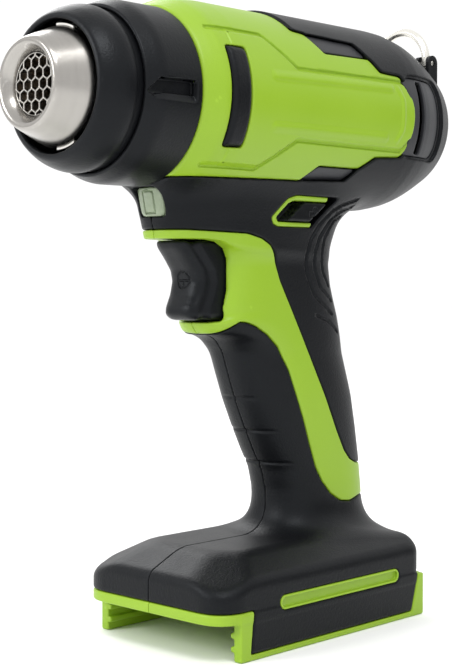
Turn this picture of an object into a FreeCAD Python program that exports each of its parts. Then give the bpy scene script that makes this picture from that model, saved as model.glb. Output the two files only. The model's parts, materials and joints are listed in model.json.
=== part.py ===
import FreeCAD, Part
import math
import os

import Sketcher

# Cordless heat gun.  Frame: +Z up, the nozzle blows towards -X, the origin is
# the bottom centre of the bounding box.  Everything is in millimetres.

doc = FreeCAD.newDocument("heat_gun")

# ---------------------------------------------------------------- dimensions
DIMENSIONS = {
    # barrel
    "axis_z": 204.0,
    "barrel_front": -53.8,
    "barrel_front_r": 33.0,
    "barrel_flare": -44.0,
    "barrel_r": 37.2,
    "cover_front": -0.5,
    "cover_step": 0.0,
    "cover_r": 38.2,
    "barrel_rear": 106.5,
    "barrel_rear_r": 20.4,
    # wall build-up
    "skin": 1.4,
    "wall": 3.4,
    "seam_gap": 0.1,
    "width_limit": 60.0,
    # front end
    "nozzle_front": -106.5,
    "nozzle_rim_r": 14.3,
    "nozzle_shoulder_r": 15.9,
    "nozzle_body_r": 21.0,
    "nozzle_body_front": -92.5,
    "nozzle_rear": -66.0,
    "nozzle_mouth_r": 10.8,
    "nozzle_throat": -98.5,
    "sheet_steel": 0.9,
    "grille_front": -102.4,
    "grille_depth": 3.4,
    "grille_r": 10.75,
    "grille_pitch": 4.2,
    "grille_hole_r": 1.75,
    "clip_long": 9.0,
    "clip_thick": 0.7,
    "guard_front": -95.0,
    "guard_lip_r": 25.0,
    "guard_bore_r": 23.0,
    "guard_mid": -86.5,
    "guard_mid_r": 30.0,
    "guard_waist": -79.5,
    "guard_waist_r": 28.6,
    "sleeve_front": -76.5,
    "sleeve_front_r": 31.6,
    "sleeve_shoulder": -74.0,
    "sleeve_r": 33.0,
    "sleeve_wall": 2.6,
    "spigot_rear": -40.0,
    "spigot_r": 29.3,
    # heater
    "shield_r": 25.4,
    "shield_front": -74.0,
    "shield_rear": -22.0,
    "heater_tube_r": 18.4,
    "heater_tube_front": -96.0,
    "heater_tube_rear": -24.0,
    "mica_r": 16.6,
    "mica_wall": 0.5,
    "board_thick": 0.8,
    "board_half": 11.35,
    "board_front": -94.0,
    "board_rear": -34.0,
    "coil_r": 12.0,
    "coil_wire_r": 0.6,
    "coil_pitch": 4.4,
    "coil_turns": 12,
    "fuse_r": 2.0,
    "fuse_long": 11.0,
    # air mover
    "duct_front": -34.0,
    "duct_front_r": 20.0,
    "duct_rear": 16.0,
    "duct_rear_r": 30.0,
    "duct_wall": 1.5,
    "fan_front": 19.0,
    "fan_depth": 11.0,
    "fan_r": 27.0,
    "fan_hub_r": 8.0,
    "fan_plate": 1.6,
    "fan_blades": 11,
    "blade_thick": 1.4,
    "shaft_r": 1.5,
    "shaft_gap": 0.05,
    "shaft_front": 17.0,
    "shaft_rear": 79.0,
    "motor_front": 40.0,
    "motor_rear": 76.0,
    "motor_r": 14.5,
    "motor_cap": 3.0,
    "mount_front": 35.0,
    "mount_r": 33.8,
    "mount_ring": 4.0,
    "spoke_half": 4.0,
    # trigger and switch
    "trigger_half": 10.2,
    "trigger_gap": 0.5,
    "trigger_back": -12.0,
    "trigger_slot_low": 121.6,
    "trigger_slot_high": 151.0,
    "plunger_r": 2.4,
    "plunger_rear": -0.5,
    "switch_front": -3.0,
    "switch_rear": 27.0,
    "switch_half": 9.0,
    "switch_low": 123.0,
    "switch_high": 148.0,
    "trigger_axis_z": 137.0,
    "plunger_room": 16.0,
    "spring_r": 4.6,
    "spring_wire_r": 0.5,
    "spring_turns": 5,
    # lock-off button
    "lock_near": -21.6,
    "lock_far": 18.6,
    "bezel_out": 20.6,
    "bezel_deep": 3.4,
    # work light
    "led_front": -49.0,
    "led_rear": -43.5,
    "led_half": 5.7,
    "led_low": 160.2,
    "led_high": 169.8,
    "led_board_thick": 1.6,
    "led_chip_r": 2.5,
    # side details on the barrel
    "side_piece_near": 10.0,
    "vent_front": 63.4,
    "vent_rear": 88.0,
    "vent_low": 187.2,
    "vent_high": 219.6,
    "vent_deep": 24.0,
    "vent_slot_front": 67.2,
    "vent_slot": 4.6,
    "vent_slot_step": 10.8,
    "inlay_front": 2.0,
    "inlay_rear": 44.0,
    "inlay_r": 36.4,
    "inlay_wall": 1.8,
    "bar_front": -43.4,
    "bar_rear": -33.8,
    "bar_low": 184.8,
    "bar_high": 220.6,
    "bar_r": 37.6,
    "bar_wall": 2.6,
    # hanging ring
    "ring_x": 102.4,
    "ring_pivot_z": 231.0,
    "ring_half": 13.0,
    "ring_wire_r": 1.8,
    "ring_leg": 1.8,
    "ring_pin_long": 3.6,
    "ring_pin_r": 1.1,
    "ring_pin_gap": 0.2,
    "lug_gap": 0.35,
    "lug_plate": 1.7,
    "lug_r": 3.2,
    "lug_base_z": 215.0,
    # foot and battery rails
    "rail_front": -40.5,
    "rail_rear": 69.0,
    "rail_half": 38.0,
    "rail_wall": 4.0,
    "rail_lip": 1.6,
    "lip_low_z": 3.4,
    "lip_high_z": 8.4,
    "lip_thick": 2.2,
    "foot_floor_high": 17.4,
    "slot_front": -19.2,
    "slot_rear": 52.1,
    "slot_z": 18.6,
    "slot_half": 2.8,
    "slot_rim": 1.0,
    "slot_deep": 1.2,
    "terminal_front": 16.0,
    "terminal_rear": 50.0,
    "terminal_half": 15.0,
    "terminal_low": 6.0,
    "window_low": 5.0,
    "window_high": 18.0,
    "terminal_high": 26.0,
    "blade_front": -2.0,
    "blade_low": 7.5,
    "blade_high": 13.0,
    "blade_step": 7.0,
    "contact_thick": 0.8,
    # electronics
    "pcb_front": -26.0,
    "pcb_rear": 14.0,
    "pcb_half": 22.0,
    "pcb_z": 21.0,
    "pcb_thick": 1.6,
    "wire_r": 1.2,
    "wire_half": 3.0,
    "battery_wire_x": 22.0,
    "motor_wire_low": 142.0,
    "motor_wire_high": 168.0,
    "motor_wire_rise_x": 31.6,
    "motor_wire_end_x": 46.0,
    # screws
    "screw_r": 1.5,
    "screw_head_r": 3.0,
    "screw_head": 2.4,
    "screw_tip": -11.0,
    "boss_r": 4.6,
}

sheet = doc.addObject("Spreadsheet::Sheet", "Dimensions")
rows_used = []


def set_cell(name, value):
    """Write one number in the sheet and give its cell the name as alias."""
    rows_used.append(name)
    row = len(rows_used)
    sheet.set(f"A{row}", name)
    sheet.set(f"B{row}", str(value))
    sheet.setAlias(f"B{row}", name)


for dimension_name, dimension in DIMENSIONS.items():
    set_cell(dimension_name, dimension)


def dim(name):
    """The expression that reads a named dimension."""
    return f"Dimensions.{name}"


def table_cells(name, columns, rows):
    """Store a table of numbers, and return its expressions row by row."""
    expressions = []
    for number, row in enumerate(rows, start=1):
        line = []
        for column, value in zip(columns, row):
            alias = f"{name}_{number}_{column}"
            set_cell(alias, value)
            line.append(dim(alias))
        expressions.append(line)
    return expressions


# Horizontal sections of the neck, handle, trigger ledge and foot:
# level, foremost x, rearmost x, half width, corner radius.
SECTION_COLUMNS = ("level", "fore", "aft", "half", "corner")
NECK = table_cells("neck", SECTION_COLUMNS, [
    (151.0, -46.6, 42.5, 16.8, 12.0),
    (160.0, -48.1, 47.5, 18.6, 12.0),
    (168.0, -49.0, 70.0, 21.0, 13.0),
    (178.0, -49.0, 78.0, 25.0, 14.0),
])
HANDLE = table_cells("handle", SECTION_COLUMNS, [
    (52.0, 13.0, 63.0, 16.5, 13.0),
    (70.0, 6.5, 61.5, 16.8, 13.0),
    (90.0, -4.0, 58.2, 17.4, 13.5),
    (110.0, -11.4, 52.0, 17.4, 13.5),
    (118.0, -22.0, 49.4, 17.2, 13.0),
    (128.0, -25.0, 45.0, 17.2, 13.0),
    (144.0, -25.5, 41.8, 17.2, 13.0),
    (158.0, -25.5, 45.8, 17.2, 13.0),
])
LEDGE = table_cells("ledge", SECTION_COLUMNS, [
    (116.8, -28.0, -8.0, 12.0, 8.0),
    (121.6, -33.5, -8.0, 13.5, 8.0),
])
FOOT = table_cells("foot", SECTION_COLUMNS, [
    (14.0, -50.5, 68.0, 38.0, 9.0),
    (28.0, -49.5, 67.5, 38.0, 9.0),
    (37.0, -36.0, 65.5, 25.0, 9.5),
    (43.0, 8.0, 65.0, 19.0, 11.0),
    (52.0, 13.0, 63.0, 16.5, 13.0),
])

# Rear of the barrel: station, radius, and how much of an inset moves it forward.
DOME = table_cells("dome", ("across", "radius", "share"), [
    (66.0, 38.1, 0.0), (73.0, 36.9, 0.2), (80.0, 35.1, 0.3), (88.0, 32.1, 0.4),
    (96.0, 28.7, 0.5), (103.0, 25.4, 0.7), (105.4, 23.2, 0.9),
])

# Side-view outlines (x, z) of the green hard plastic and of the inlaid pieces.
OUTLINE_COLUMNS = ("across", "up")
PANEL_OUTLINE = table_cells("panel", OUTLINE_COLUMNS, [
    (-60.0, 246.0), (-0.5, 246.0), (0.1, 231.7), (6.8, 231.0), (12.7, 223.8),
    (39.4, 224.5), (43.6, 219.4), (56.4, 218.9), (61.5, 211.0), (63.0, 202.8),
    (61.5, 194.6), (59.5, 186.6), (42.6, 185.7), (35.7, 181.1), (12.7, 181.0),
    (5.9, 175.4), (-60.0, 174.3),
])
BRACKET_OUTLINE = table_cells("bracket", OUTLINE_COLUMNS, [
    (-60.0, 155.2), (-13.6, 154.6), (-5.2, 151.4), (-0.6, 146.9), (3.4, 137.3),
    (15.2, 117.7), (30.5, 91.3), (43.2, 68.1), (49.7, 62.2), (51.7, 48.7),
    (43.3, 47.2), (32.5, 52.0), (26.3, 61.5), (18.3, 82.1), (9.3, 102.3),
    (-2.3, 117.0), (-13.5, 121.0), (-21.7, 116.4), (-60.0, 116.0),
])
BASE_OUTLINE = table_cells("base", OUTLINE_COLUMNS, [
    (-60.0, 18.2), (-33.2, 18.2), (-34.8, 2.4), (60.9, 2.4), (64.8, 16.6),
    (72.0, 16.6), (72.0, -2.0), (-60.0, -2.0),
])
INLAY_HIGH = table_cells("inlay_high", OUTLINE_COLUMNS, [
    (6.8, 231.0), (12.7, 223.8), (39.2, 224.4), (34.6, 230.2),
])
INLAY_LOW = table_cells("inlay_low", OUTLINE_COLUMNS, [
    (5.9, 175.4), (12.7, 181.0), (35.7, 181.1), (30.8, 176.2),
])
LOCK_OUTLINE = table_cells("lock", OUTLINE_COLUMNS, [
    (2.2, 160.2), (18.4, 160.2), (28.2, 167.2), (12.0, 167.2),
])
LOCK_HOLE = table_cells("lock_hole", OUTLINE_COLUMNS, [
    (0.8, 159.8), (18.5, 159.8), (29.6, 167.6), (11.9, 167.6),
])
BEZEL_OUTLINE = table_cells("bezel", OUTLINE_COLUMNS, [
    (-3.6, 157.8), (18.9, 157.8), (34.6, 169.6), (12.1, 169.6),
])
# Side view of the trigger, with the hollow that the finger sits in.
TRIGGER_OUTLINE = table_cells("trigger", OUTLINE_COLUMNS, [
    (-38.0, 150.5), (-36.0, 146.0), (-32.4, 138.0), (-33.0, 131.0),
    (-35.0, 126.0), (-32.5, 122.1), (-12.0, 122.1), (-12.0, 150.5),
])
# Screws: place on the side of the housing, and how far out the head sits.
SCREWS = table_cells("screw", ("across", "up", "seat"), [
    (-34.0, 172.6, 14.0), (86.0, 184.0, 20.0), (84.0, 224.0, 20.0),
    (38.5, 150.0, 12.0), (2.0, 112.0, 12.0), (38.0, 64.0, 11.5),
    (-40.0, 24.0, 30.0), (58.0, 24.0, 30.0),
])

doc.recompute()


# ------------------------------------------------------------------- helpers
def bind(item, **expressions):
    """Bind properties of an object to expressions."""
    for prop, expression in expressions.items():
        item.setExpression(prop, str(expression))


def move(item, x=None, y=None, z=None):
    """Bind the placement's coordinates that are given."""
    for letter, expression in (("x", x), ("y", y), ("z", z)):
        if expression is not None:
            item.setExpression(f"Placement.Base.{letter}", str(expression))


def turn(item, axis, degrees):
    """Set the placement's rotation."""
    item.Placement = FreeCAD.Placement(
        FreeCAD.Vector(), FreeCAD.Rotation(FreeCAD.Vector(*axis), degrees))


def block(name, x, y, z):
    """A box between three pairs of expressions."""
    item = doc.addObject("Part::Box", name)
    bind(item, Length=f"({x[1]}) - ({x[0]})", Width=f"({y[1]}) - ({y[0]})",
         Height=f"({z[1]}) - ({z[0]})")
    move(item, x[0], y[0], z[0])
    return item


def rod_x(name, radius, x, y="0", z=dim("axis_z")):
    """A cylinder along X between two expressions."""
    item = doc.addObject("Part::Cylinder", name)
    turn(item, (0, 1, 0), 90)
    bind(item, Radius=radius, Height=f"({x[1]}) - ({x[0]})")
    move(item, x[0], y, z)
    return item


def rod_y(name, radius, x, y, z):
    """A cylinder along Y between two expressions."""
    item = doc.addObject("Part::Cylinder", name)
    turn(item, (1, 0, 0), -90)
    bind(item, Radius=radius, Height=f"({y[1]}) - ({y[0]})")
    move(item, x, y[0], z)
    return item


def rod_z(name, radius, x, y, z):
    """A cylinder along Z between two expressions."""
    item = doc.addObject("Part::Cylinder", name)
    bind(item, Radius=radius, Height=f"({z[1]}) - ({z[0]})")
    move(item, x, y, z[0])
    return item


def polygon(sketch, corners):
    """Draw a closed polygon whose corners are bound to expressions."""
    points = [FreeCAD.Vector(value(a), value(b), 0) for a, b in corners]
    count = len(points)
    for start, end in zip(points, points[1:] + points[:1]):
        sketch.addGeometry(Part.LineSegment(start, end), False)
    for index in range(count):
        sketch.addConstraint(
            Sketcher.Constraint("Coincident", index, 2, (index + 1) % count, 1))
    for index, (a, b) in enumerate(corners):
        for kind, expression in (("DistanceX", a), ("DistanceY", b)):
            if str(expression) == "0":
                axis = -2 if kind == "DistanceX" else -1
                sketch.addConstraint(
                    Sketcher.Constraint("PointOnObject", index, 1, axis))
                continue
            number = sketch.addConstraint(
                Sketcher.Constraint(kind, -1, 1, index, 1, value(expression)))
            sketch.setExpression(f"Constraints[{number}]", str(expression))


def value(expression):
    """The present value of an expression over the sheet's cells."""
    return float(doc.Dimensions.evalExpression(
        str(expression).replace("Dimensions.", "")))


def turned(name, profile):
    """A body turned about the barrel axis from an (x, radius) profile."""
    body = doc.addObject("PartDesign::Body", name)
    sketch = body.newObject("Sketcher::SketchObject", f"{name}_profile")
    plane = [feature for feature in body.Origin.OriginFeatures
             if feature.Role == "XY_Plane"][0]
    sketch.AttachmentSupport = [(plane, "")]
    sketch.MapMode = "FlatFace"
    polygon(sketch, profile)
    revolution = body.newObject("PartDesign::Revolution", f"{name}_turn")
    revolution.Profile = sketch
    revolution.ReferenceAxis = (sketch, ["H_Axis"])
    revolution.Angle = 360
    body.Tip = revolution
    move(body, z=dim("axis_z"))
    return body


def side_prism(name, corners, y):
    """A side-view outline extruded across Y between two expressions."""
    sketch = doc.addObject("Sketcher::SketchObject", f"{name}_outline")
    turn(sketch, (1, 0, 0), 90)
    move(sketch, y=y[1])
    polygon(sketch, corners)
    prism = doc.addObject("Part::Extrusion", name)
    prism.Base = sketch
    prism.DirMode = "Normal"
    prism.Solid = True
    bind(prism, LengthFwd=f"({y[1]}) - ({y[0]})")
    return prism


def rounded_section(name, section, inset, level_shift):
    """A horizontal rounded rectangle, drawn in by an inset."""
    level, fore, aft, half, corner = section
    x0, x1 = value(f"{fore} + {inset}"), value(f"{aft} - {inset}")
    half_width = value(f"{half} - {inset}")
    radius = value(f"{corner} - {inset}")
    sketch = doc.addObject("Sketcher::SketchObject", name)
    move(sketch, z=f"{level} + {level_shift}")
    vector = FreeCAD.Vector
    sides = [
        (vector(x0 + radius, -half_width), vector(x1 - radius, -half_width)),
        (vector(x1, -half_width + radius), vector(x1, half_width - radius)),
        (vector(x1 - radius, half_width), vector(x0 + radius, half_width)),
        (vector(x0, half_width - radius), vector(x0, -half_width + radius)),
    ]
    centres = [
        vector(x1 - radius, -half_width + radius),
        vector(x1 - radius, half_width - radius),
        vector(x0 + radius, half_width - radius),
        vector(x0 + radius, -half_width + radius),
    ]
    for quarter in range(4):
        sketch.addGeometry(Part.LineSegment(*sides[quarter]), False)
        circle = Part.Circle(centres[quarter], vector(0, 0, 1), radius)
        start = math.radians(90 * quarter - 90)
        sketch.addGeometry(
            Part.ArcOfCircle(circle, start, start + math.radians(90)), False)
    for quarter in range(4):
        line, arc = 2 * quarter, 2 * quarter + 1
        following = (line + 2) % 8
        sketch.addConstraint(Sketcher.Constraint("Tangent", line, 2, arc, 1))
        sketch.addConstraint(Sketcher.Constraint("Tangent", arc, 2, following, 1))
        sketch.addConstraint(
            Sketcher.Constraint("Vertical" if quarter % 2 else "Horizontal", line))
    for arc in (3, 5, 7):
        sketch.addConstraint(Sketcher.Constraint("Equal", 1, arc))
    drivers = [
        (("Radius", 1, radius), f"{corner} - {inset}"),
        (("DistanceX", -1, 1, 6, 1, x0), f"{fore} + {inset}"),
        (("DistanceX", -1, 1, 2, 1, x1), f"{aft} - {inset}"),
        (("DistanceY", -1, 1, 4, 1, half_width), f"{half} - {inset}"),
        (("DistanceY", -1, 1, 0, 1, -half_width), f"-({half} - {inset})"),
    ]
    for arguments, expression in drivers:
        number = sketch.addConstraint(Sketcher.Constraint(*arguments))
        sketch.setExpression(f"Constraints[{number}]", expression)
    return sketch


def loft(name, sections, inset, shifts):
    """A ruled loft through inset sections; shifts move single levels."""
    item = doc.addObject("Part::Loft", name)
    item.Sections = [
        rounded_section(f"{name}_{number}", section, inset, shifts.get(number, "0"))
        for number, section in enumerate(sections)]
    item.Solid = True
    item.Ruled = True
    return item


def fuse(name, items):
    """Union of several objects."""
    item = doc.addObject("Part::MultiFuse", name)
    item.Shapes = items
    return item


def common(name, items):
    """Intersection of several objects."""
    item = doc.addObject("Part::MultiCommon", name)
    item.Shapes = items
    return item


def cut(name, base, tool):
    """One object less another."""
    item = doc.addObject("Part::Cut", name)
    item.Base = base
    item.Tool = tool
    return item


nodes = []


def node(item, label):
    """Name a finished piece and keep it for the export."""
    item.Label = label
    nodes.append(item)
    return item


def span(low, high):
    """A pair of expressions, from dimension names or plain expressions."""
    return tuple(dim(end) if end in DIMENSIONS else end for end in (low, high))


def both_ways(half):
    """The pair from minus to plus one dimension."""
    return (f"-{dim(half)}", dim(half))


SIDES = (("left", -1), ("right", 1))


def side_span(side, near, far):
    """A pair of Y expressions at one side, from near the middle to far out."""
    return (f"-({far})", f"-({near})") if side < 0 else (near, far)


def long_slot(name, half, y):
    """The round-ended bar of the trim along the foot."""
    low, high = f"{dim('slot_z')} - {half}", f"{dim('slot_z')} + {half}"
    front = f"{dim('slot_front')} + {dim('slot_half')}"
    rear = f"{dim('slot_rear')} - {dim('slot_half')}"
    return fuse(name, [
        block(f"{name}_bar", (front, rear), y, (low, high)),
        rod_y(f"{name}_fore", half, front, y, dim("slot_z")),
        rod_y(f"{name}_aft", half, rear, y, dim("slot_z"))])


# ------------------------------------------------------------------- casing
def casing(name, inset):
    """The closed outer form of the tool, drawn in by an inset."""
    rear = f"{dim('barrel_rear')} - {inset}"
    cover_r = f"{dim('cover_r')} - {inset}"
    barrel_r = f"{dim('barrel_r')} - {inset}"
    dome = [(f"{across} - {share} * ({inset})", f"{radius} - {inset}")
            for across, radius, share in DOME]
    barrel = turned(f"{name}_barrel", [
        (dim("barrel_front"), "0"),
        (dim("barrel_front"), f"{dim('barrel_front_r')} - {inset}"),
        (dim("barrel_flare"), barrel_r),
        (dim("cover_front"), barrel_r),
        (dim("cover_step"), cover_r),
    ] + dome + [
        (rear, f"{dim('barrel_rear_r')} - {inset}"),
        (rear, "0"),
    ])
    neck = loft(f"{name}_neck", NECK, inset, {0: inset})
    handle = loft(f"{name}_handle", HANDLE, inset, {})
    foot = loft(f"{name}_foot", FOOT, inset, {0: inset, 1: f"-({inset})", 2: f"-({inset})"})
    return fuse(name, [barrel, neck, handle, foot])


outer = casing("outer_form", "0")
middle = casing("middle_form", dim("skin"))
inner = casing("inner_form", dim("wall"))

across = both_ways("width_limit")
green_regions = fuse("green_regions", [
    side_prism("panel_region", PANEL_OUTLINE, across),
    side_prism("bracket_region", BRACKET_OUTLINE, across),
    side_prism("base_region", BASE_OUTLINE, across),
])

ledge = loft("ledge", LEDGE, "0", {})

rail_blocks = []
for side_name, side in SIDES:
    rail_x = span("rail_front", "rail_rear")
    rail_blocks.append(block(
        f"rail_wall_{side_name}", rail_x,
        side_span(side, f"{dim('rail_half')} - {dim('rail_wall')}", dim("rail_half")),
        ("0", dim("foot_floor_high"))))
    for lip_name in ("low", "high"):
        lip_z = dim(f"lip_{lip_name}_z")
        rail_blocks.append(block(
            f"rail_lip_{lip_name}_{side_name}", rail_x,
            side_span(side, f"{dim('rail_half')} - {dim('rail_wall')} - {dim('rail_lip')}",
                      f"{dim('rail_half')} - 1"),
            (lip_z, f"{lip_z} + {dim('lip_thick')}")))

bosses = fuse("screw_bosses", [
    rod_y(f"boss_{number}", dim("boss_r"), x, across, z)
    for number, (x, z, seat) in enumerate(SCREWS, start=1)])
screw_shanks = fuse("screw_shanks", [
    rod_y(f"shank_{number}", dim("screw_r"), x, (dim("screw_tip"), seat), z)
    for number, (x, z, seat) in enumerate(SCREWS, start=1)])
head_rooms = fuse("head_rooms", [
    rod_y(f"head_room_{number}", f"{dim('screw_head_r')} + 0.3", x,
          (seat, dim("width_limit")), z)
    for number, (x, z, seat) in enumerate(SCREWS, start=1)])

# Everything that passes through the shells.
front_limit = f"-{dim('width_limit')}"
trigger_slot = block("trigger_slot", (front_limit, dim("trigger_back")),
                     (f"-{dim('trigger_half')} - {dim('trigger_gap')}",
                      f"{dim('trigger_half')} + {dim('trigger_gap')}"),
                     span("trigger_slot_low", "trigger_slot_high"))
led_window = block("led_window", (front_limit, dim("led_rear")), both_ways("led_half"),
                   span("led_low", "led_high"))
lock_hole = side_prism("lock_hole", LOCK_HOLE, across)
vent_windows = fuse("vent_windows", [
    block(f"vent_window_{side_name}", span("vent_front", "vent_rear"),
          side_span(side, dim("vent_deep"), dim("width_limit")), span("vent_low", "vent_high"))
    for side_name, side in SIDES])
terminal_window = block("terminal_window", span("blade_front", "terminal_rear"),
                        both_ways("terminal_half"), span("window_low", "window_high"))
inlay_prisms = fuse("inlay_prisms", [
    side_prism("inlay_high_prism", INLAY_HIGH, across),
    side_prism("inlay_low_prism", INLAY_LOW, across)])
inlay_ring = cut("inlay_room",
                 rod_x("inlay_room_out", dim("width_limit"), span("inlay_front", "inlay_rear")),
                 rod_x("inlay_room_in", f"{dim('inlay_r')} - {dim('inlay_wall')}",
                       (f"{dim('inlay_front')} - 1", f"{dim('inlay_rear')} + 1")))
inlay_rooms = common("inlay_rooms", [inlay_prisms, inlay_ring])
bar_x = span("bar_front", "bar_rear")
bar_ring = cut("bar_room",
               rod_x("bar_room_out", dim("width_limit"), bar_x),
               rod_x("bar_room_in", f"{dim('bar_r')} - {dim('bar_wall')}",
                     (f"{bar_x[0]} - 1", f"{bar_x[1]} + 1")))
bar_rooms = common("bar_rooms", [
    bar_ring, block("bar_zone", bar_x, across, span("bar_low", "bar_high"))])
bezel_rooms = [
    side_prism("bezel_room_left", BEZEL_OUTLINE,
               side_span(-1, f"{dim('bezel_out')} - {dim('bezel_deep')}", dim("width_limit"))),
    side_prism("bezel_room_right", BEZEL_OUTLINE,
               side_span(1, f"{dim('bezel_out')} - {dim('bezel_deep')}", dim("width_limit"))),
]
slot_rooms = [
    long_slot(f"slot_room_{side_name}", dim("slot_half"),
              side_span(side, f"{dim('rail_half')} - {dim('slot_deep')}",
                        dim("width_limit")))
    for side_name, side in SIDES]

openings = fuse("openings", [
    trigger_slot, led_window, lock_hole, vent_windows, terminal_window, inlay_rooms,
    bar_rooms, head_rooms] + bezel_rooms + slot_rooms)

green_solid = fuse("green_solid", [
    middle, common("green_parts", [outer, green_regions]), ledge] + rail_blocks)
walls = cut("walls", green_solid, inner)
walls_with_bosses = fuse("walls_with_bosses", [
    walls, common("inner_bosses", [bosses, inner])])
pierced_walls = cut("pierced_walls",
                    cut("opened_walls", walls_with_bosses, openings), screw_shanks)
skin_solid = cut("skin_solid", cut("skin_band", outer, middle),
                 fuse("not_skin", [green_regions, ledge] + rail_blocks))
pierced_skin = cut("pierced_skin", cut("opened_skin", skin_solid, openings), screw_shanks)

whole_x = (f"{dim('nozzle_front')} - 5", f"{dim('barrel_rear')} + 5")
whole_z = ("-5", f"{dim('axis_z')} + {dim('width_limit')}")
left_half = block("left_half", whole_x,
                  (f"-{dim('width_limit')} - 5", f"-{dim('seam_gap')} / 2"), whole_z)
right_half = block("right_half", whole_x,
                   (f"{dim('seam_gap')} / 2", f"{dim('width_limit')} + 5"), whole_z)
node(common("housing_half_l", [pierced_walls, left_half]), "housing_left")
node(common("housing_half_r", [pierced_walls, right_half]), "housing_right")
node(common("overmould_half_l", [pierced_skin, left_half]), "overmould_left")
node(common("overmould_half_r", [pierced_skin, right_half]), "overmould_right")


# ----------------------------------------------------------------- front end
node(turned("nozzle", [
    (dim("nozzle_front"), f"{dim('nozzle_rim_r')} - 1.3"),
    (dim("nozzle_front"), dim("nozzle_rim_r")),
    (f"{dim('nozzle_front')} + 1.2", dim("nozzle_shoulder_r")),
    (dim("nozzle_body_front"), dim("nozzle_body_r")),
    (dim("nozzle_rear"), dim("nozzle_body_r")),
    (dim("nozzle_rear"), f"{dim('nozzle_body_r')} - {dim('sheet_steel')}"),
    (f"{dim('nozzle_body_front')} - 0.2", f"{dim('nozzle_body_r')} - {dim('sheet_steel')}"),
    (f"{dim('nozzle_front')} + 2.2", f"{dim('nozzle_shoulder_r')} - {dim('sheet_steel')}"),
    (f"{dim('nozzle_front')} + 4.3", f"{dim('nozzle_mouth_r')} + {dim('sheet_steel')}"),
    (dim("nozzle_throat"), f"{dim('nozzle_mouth_r')} + {dim('sheet_steel')}"),
    (dim("nozzle_throat"), dim("nozzle_mouth_r")),
    (f"{dim('nozzle_front')} + 3.9", dim("nozzle_mouth_r")),
]), "nozzle")


def grille_holes():
    """Pointy-top hexagonal holes in rows, each row shifted by half a pitch."""
    rise = math.sqrt(3) / 2
    reach = value(f"{dim('grille_r')} / {dim('grille_pitch')}")
    holes = []
    for row in range(-3, 4):
        for column in range(-3, 4):
            across_pitch = column + (0.5 if row % 2 else 0.0)
            if math.hypot(across_pitch, row * rise) > reach + 0.1:
                continue
            hole = doc.addObject("Part::Prism", f"grille_hole_{len(holes) + 1}")
            hole.Polygon = 6
            turn(hole, (0, 1, 0), 90)
            bind(hole, Circumradius=dim("grille_hole_r"),
                 Height=f"{dim('grille_depth')} + 2")
            move(hole, f"{dim('grille_front')} - 1",
                 f"{across_pitch} * {dim('grille_pitch')}",
                 f"{dim('axis_z')} + {row * rise} * {dim('grille_pitch')}")
            holes.append(hole)
    return holes


grille_x = (dim("grille_front"), f"{dim('grille_front')} + {dim('grille_depth')}")
grille_core = rod_x("grille_core", f"{dim('grille_r')} - 0.35",
                    (f"{dim('grille_front')} - 2", f"{grille_x[1]} + 2"))
node(cut("grille", rod_x("grille_disc", dim("grille_r"), grille_x),
         common("grille_cells", [fuse("grille_holes", grille_holes()), grille_core])),
     "honeycomb_grille")

clip_x = (f"{dim('nozzle_body_front')} - 0.4", f"{dim('nozzle_body_front')} + 6")
clip_ring = cut("clip_ring",
                rod_x("clip_ring_out", f"{dim('nozzle_body_r')} + {dim('clip_thick')}", clip_x),
                rod_x("clip_ring_in", dim("nozzle_body_r"),
                      (f"{clip_x[0]} - 1", f"{clip_x[1]} + 1")))
node(common("clips", [
    clip_ring,
    block("clip_zone", clip_x, (f"-{dim('clip_long')}", "0"),
          (f"{dim('axis_z')} - {dim('cover_r')}", f"{dim('axis_z')} + {dim('cover_r')}"))]),
     "nozzle_clips")

node(turned("guard", [
    (dim("guard_front"), dim("guard_bore_r")),
    (dim("guard_front"), f"{dim('guard_lip_r')} - 0.4"),
    (f"{dim('guard_front')} + 1.5", f"{dim('guard_lip_r')} + 1.2"),
    (dim("guard_mid"), dim("guard_mid_r")),
    (f"{dim('guard_mid')} + 2.5", f"{dim('guard_mid_r')} + 0.2"),
    (f"{dim('guard_waist')} - 2", dim("guard_waist_r")),
    (f"{dim('sleeve_front')} + 6", dim("guard_waist_r")),
    (f"{dim('sleeve_front')} + 6", f"{dim('guard_waist_r')} - 2"),
    (f"{dim('guard_mid')} + 2", f"{dim('guard_waist_r')} - 2"),
    (f"{dim('guard_front')} + 5", dim("guard_bore_r")),
]), "nozzle_guard")

sleeve_in = f"{dim('sleeve_r')} - {dim('sleeve_wall')}"
node(turned("sleeve", [
    (dim("sleeve_front"), f"{dim('guard_waist_r')} + 0.1"),
    (dim("sleeve_front"), dim("sleeve_front_r")),
    (dim("sleeve_shoulder"), dim("sleeve_r")),
    (f"{dim('barrel_front')} - 0.1", dim("sleeve_r")),
    (f"{dim('barrel_front')} - 0.1", dim("spigot_r")),
    (dim("spigot_rear"), dim("spigot_r")),
    (dim("spigot_rear"), f"{dim('spigot_r')} - 2"),
    (f"{dim('barrel_front')} - 3", f"{dim('spigot_r')} - 2"),
    (f"{dim('barrel_front')} - 3", sleeve_in),
    (f"{dim('sleeve_front')} + 3", sleeve_in),
    (f"{dim('sleeve_front')} + 3", f"{dim('guard_waist_r')} + 0.1"),
]), "front_sleeve")

# -------------------------------------------------------------------- heater


def tube(name, radius, thick, x):
    """A plain tube on the barrel axis, by its outer radius and its wall."""
    return cut(name, rod_x(f"{name}_out", radius, x),
               rod_x(f"{name}_in", f"{radius} - {thick}",
                     (f"{x[0]} - 1", f"{x[1]} + 1")))


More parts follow.
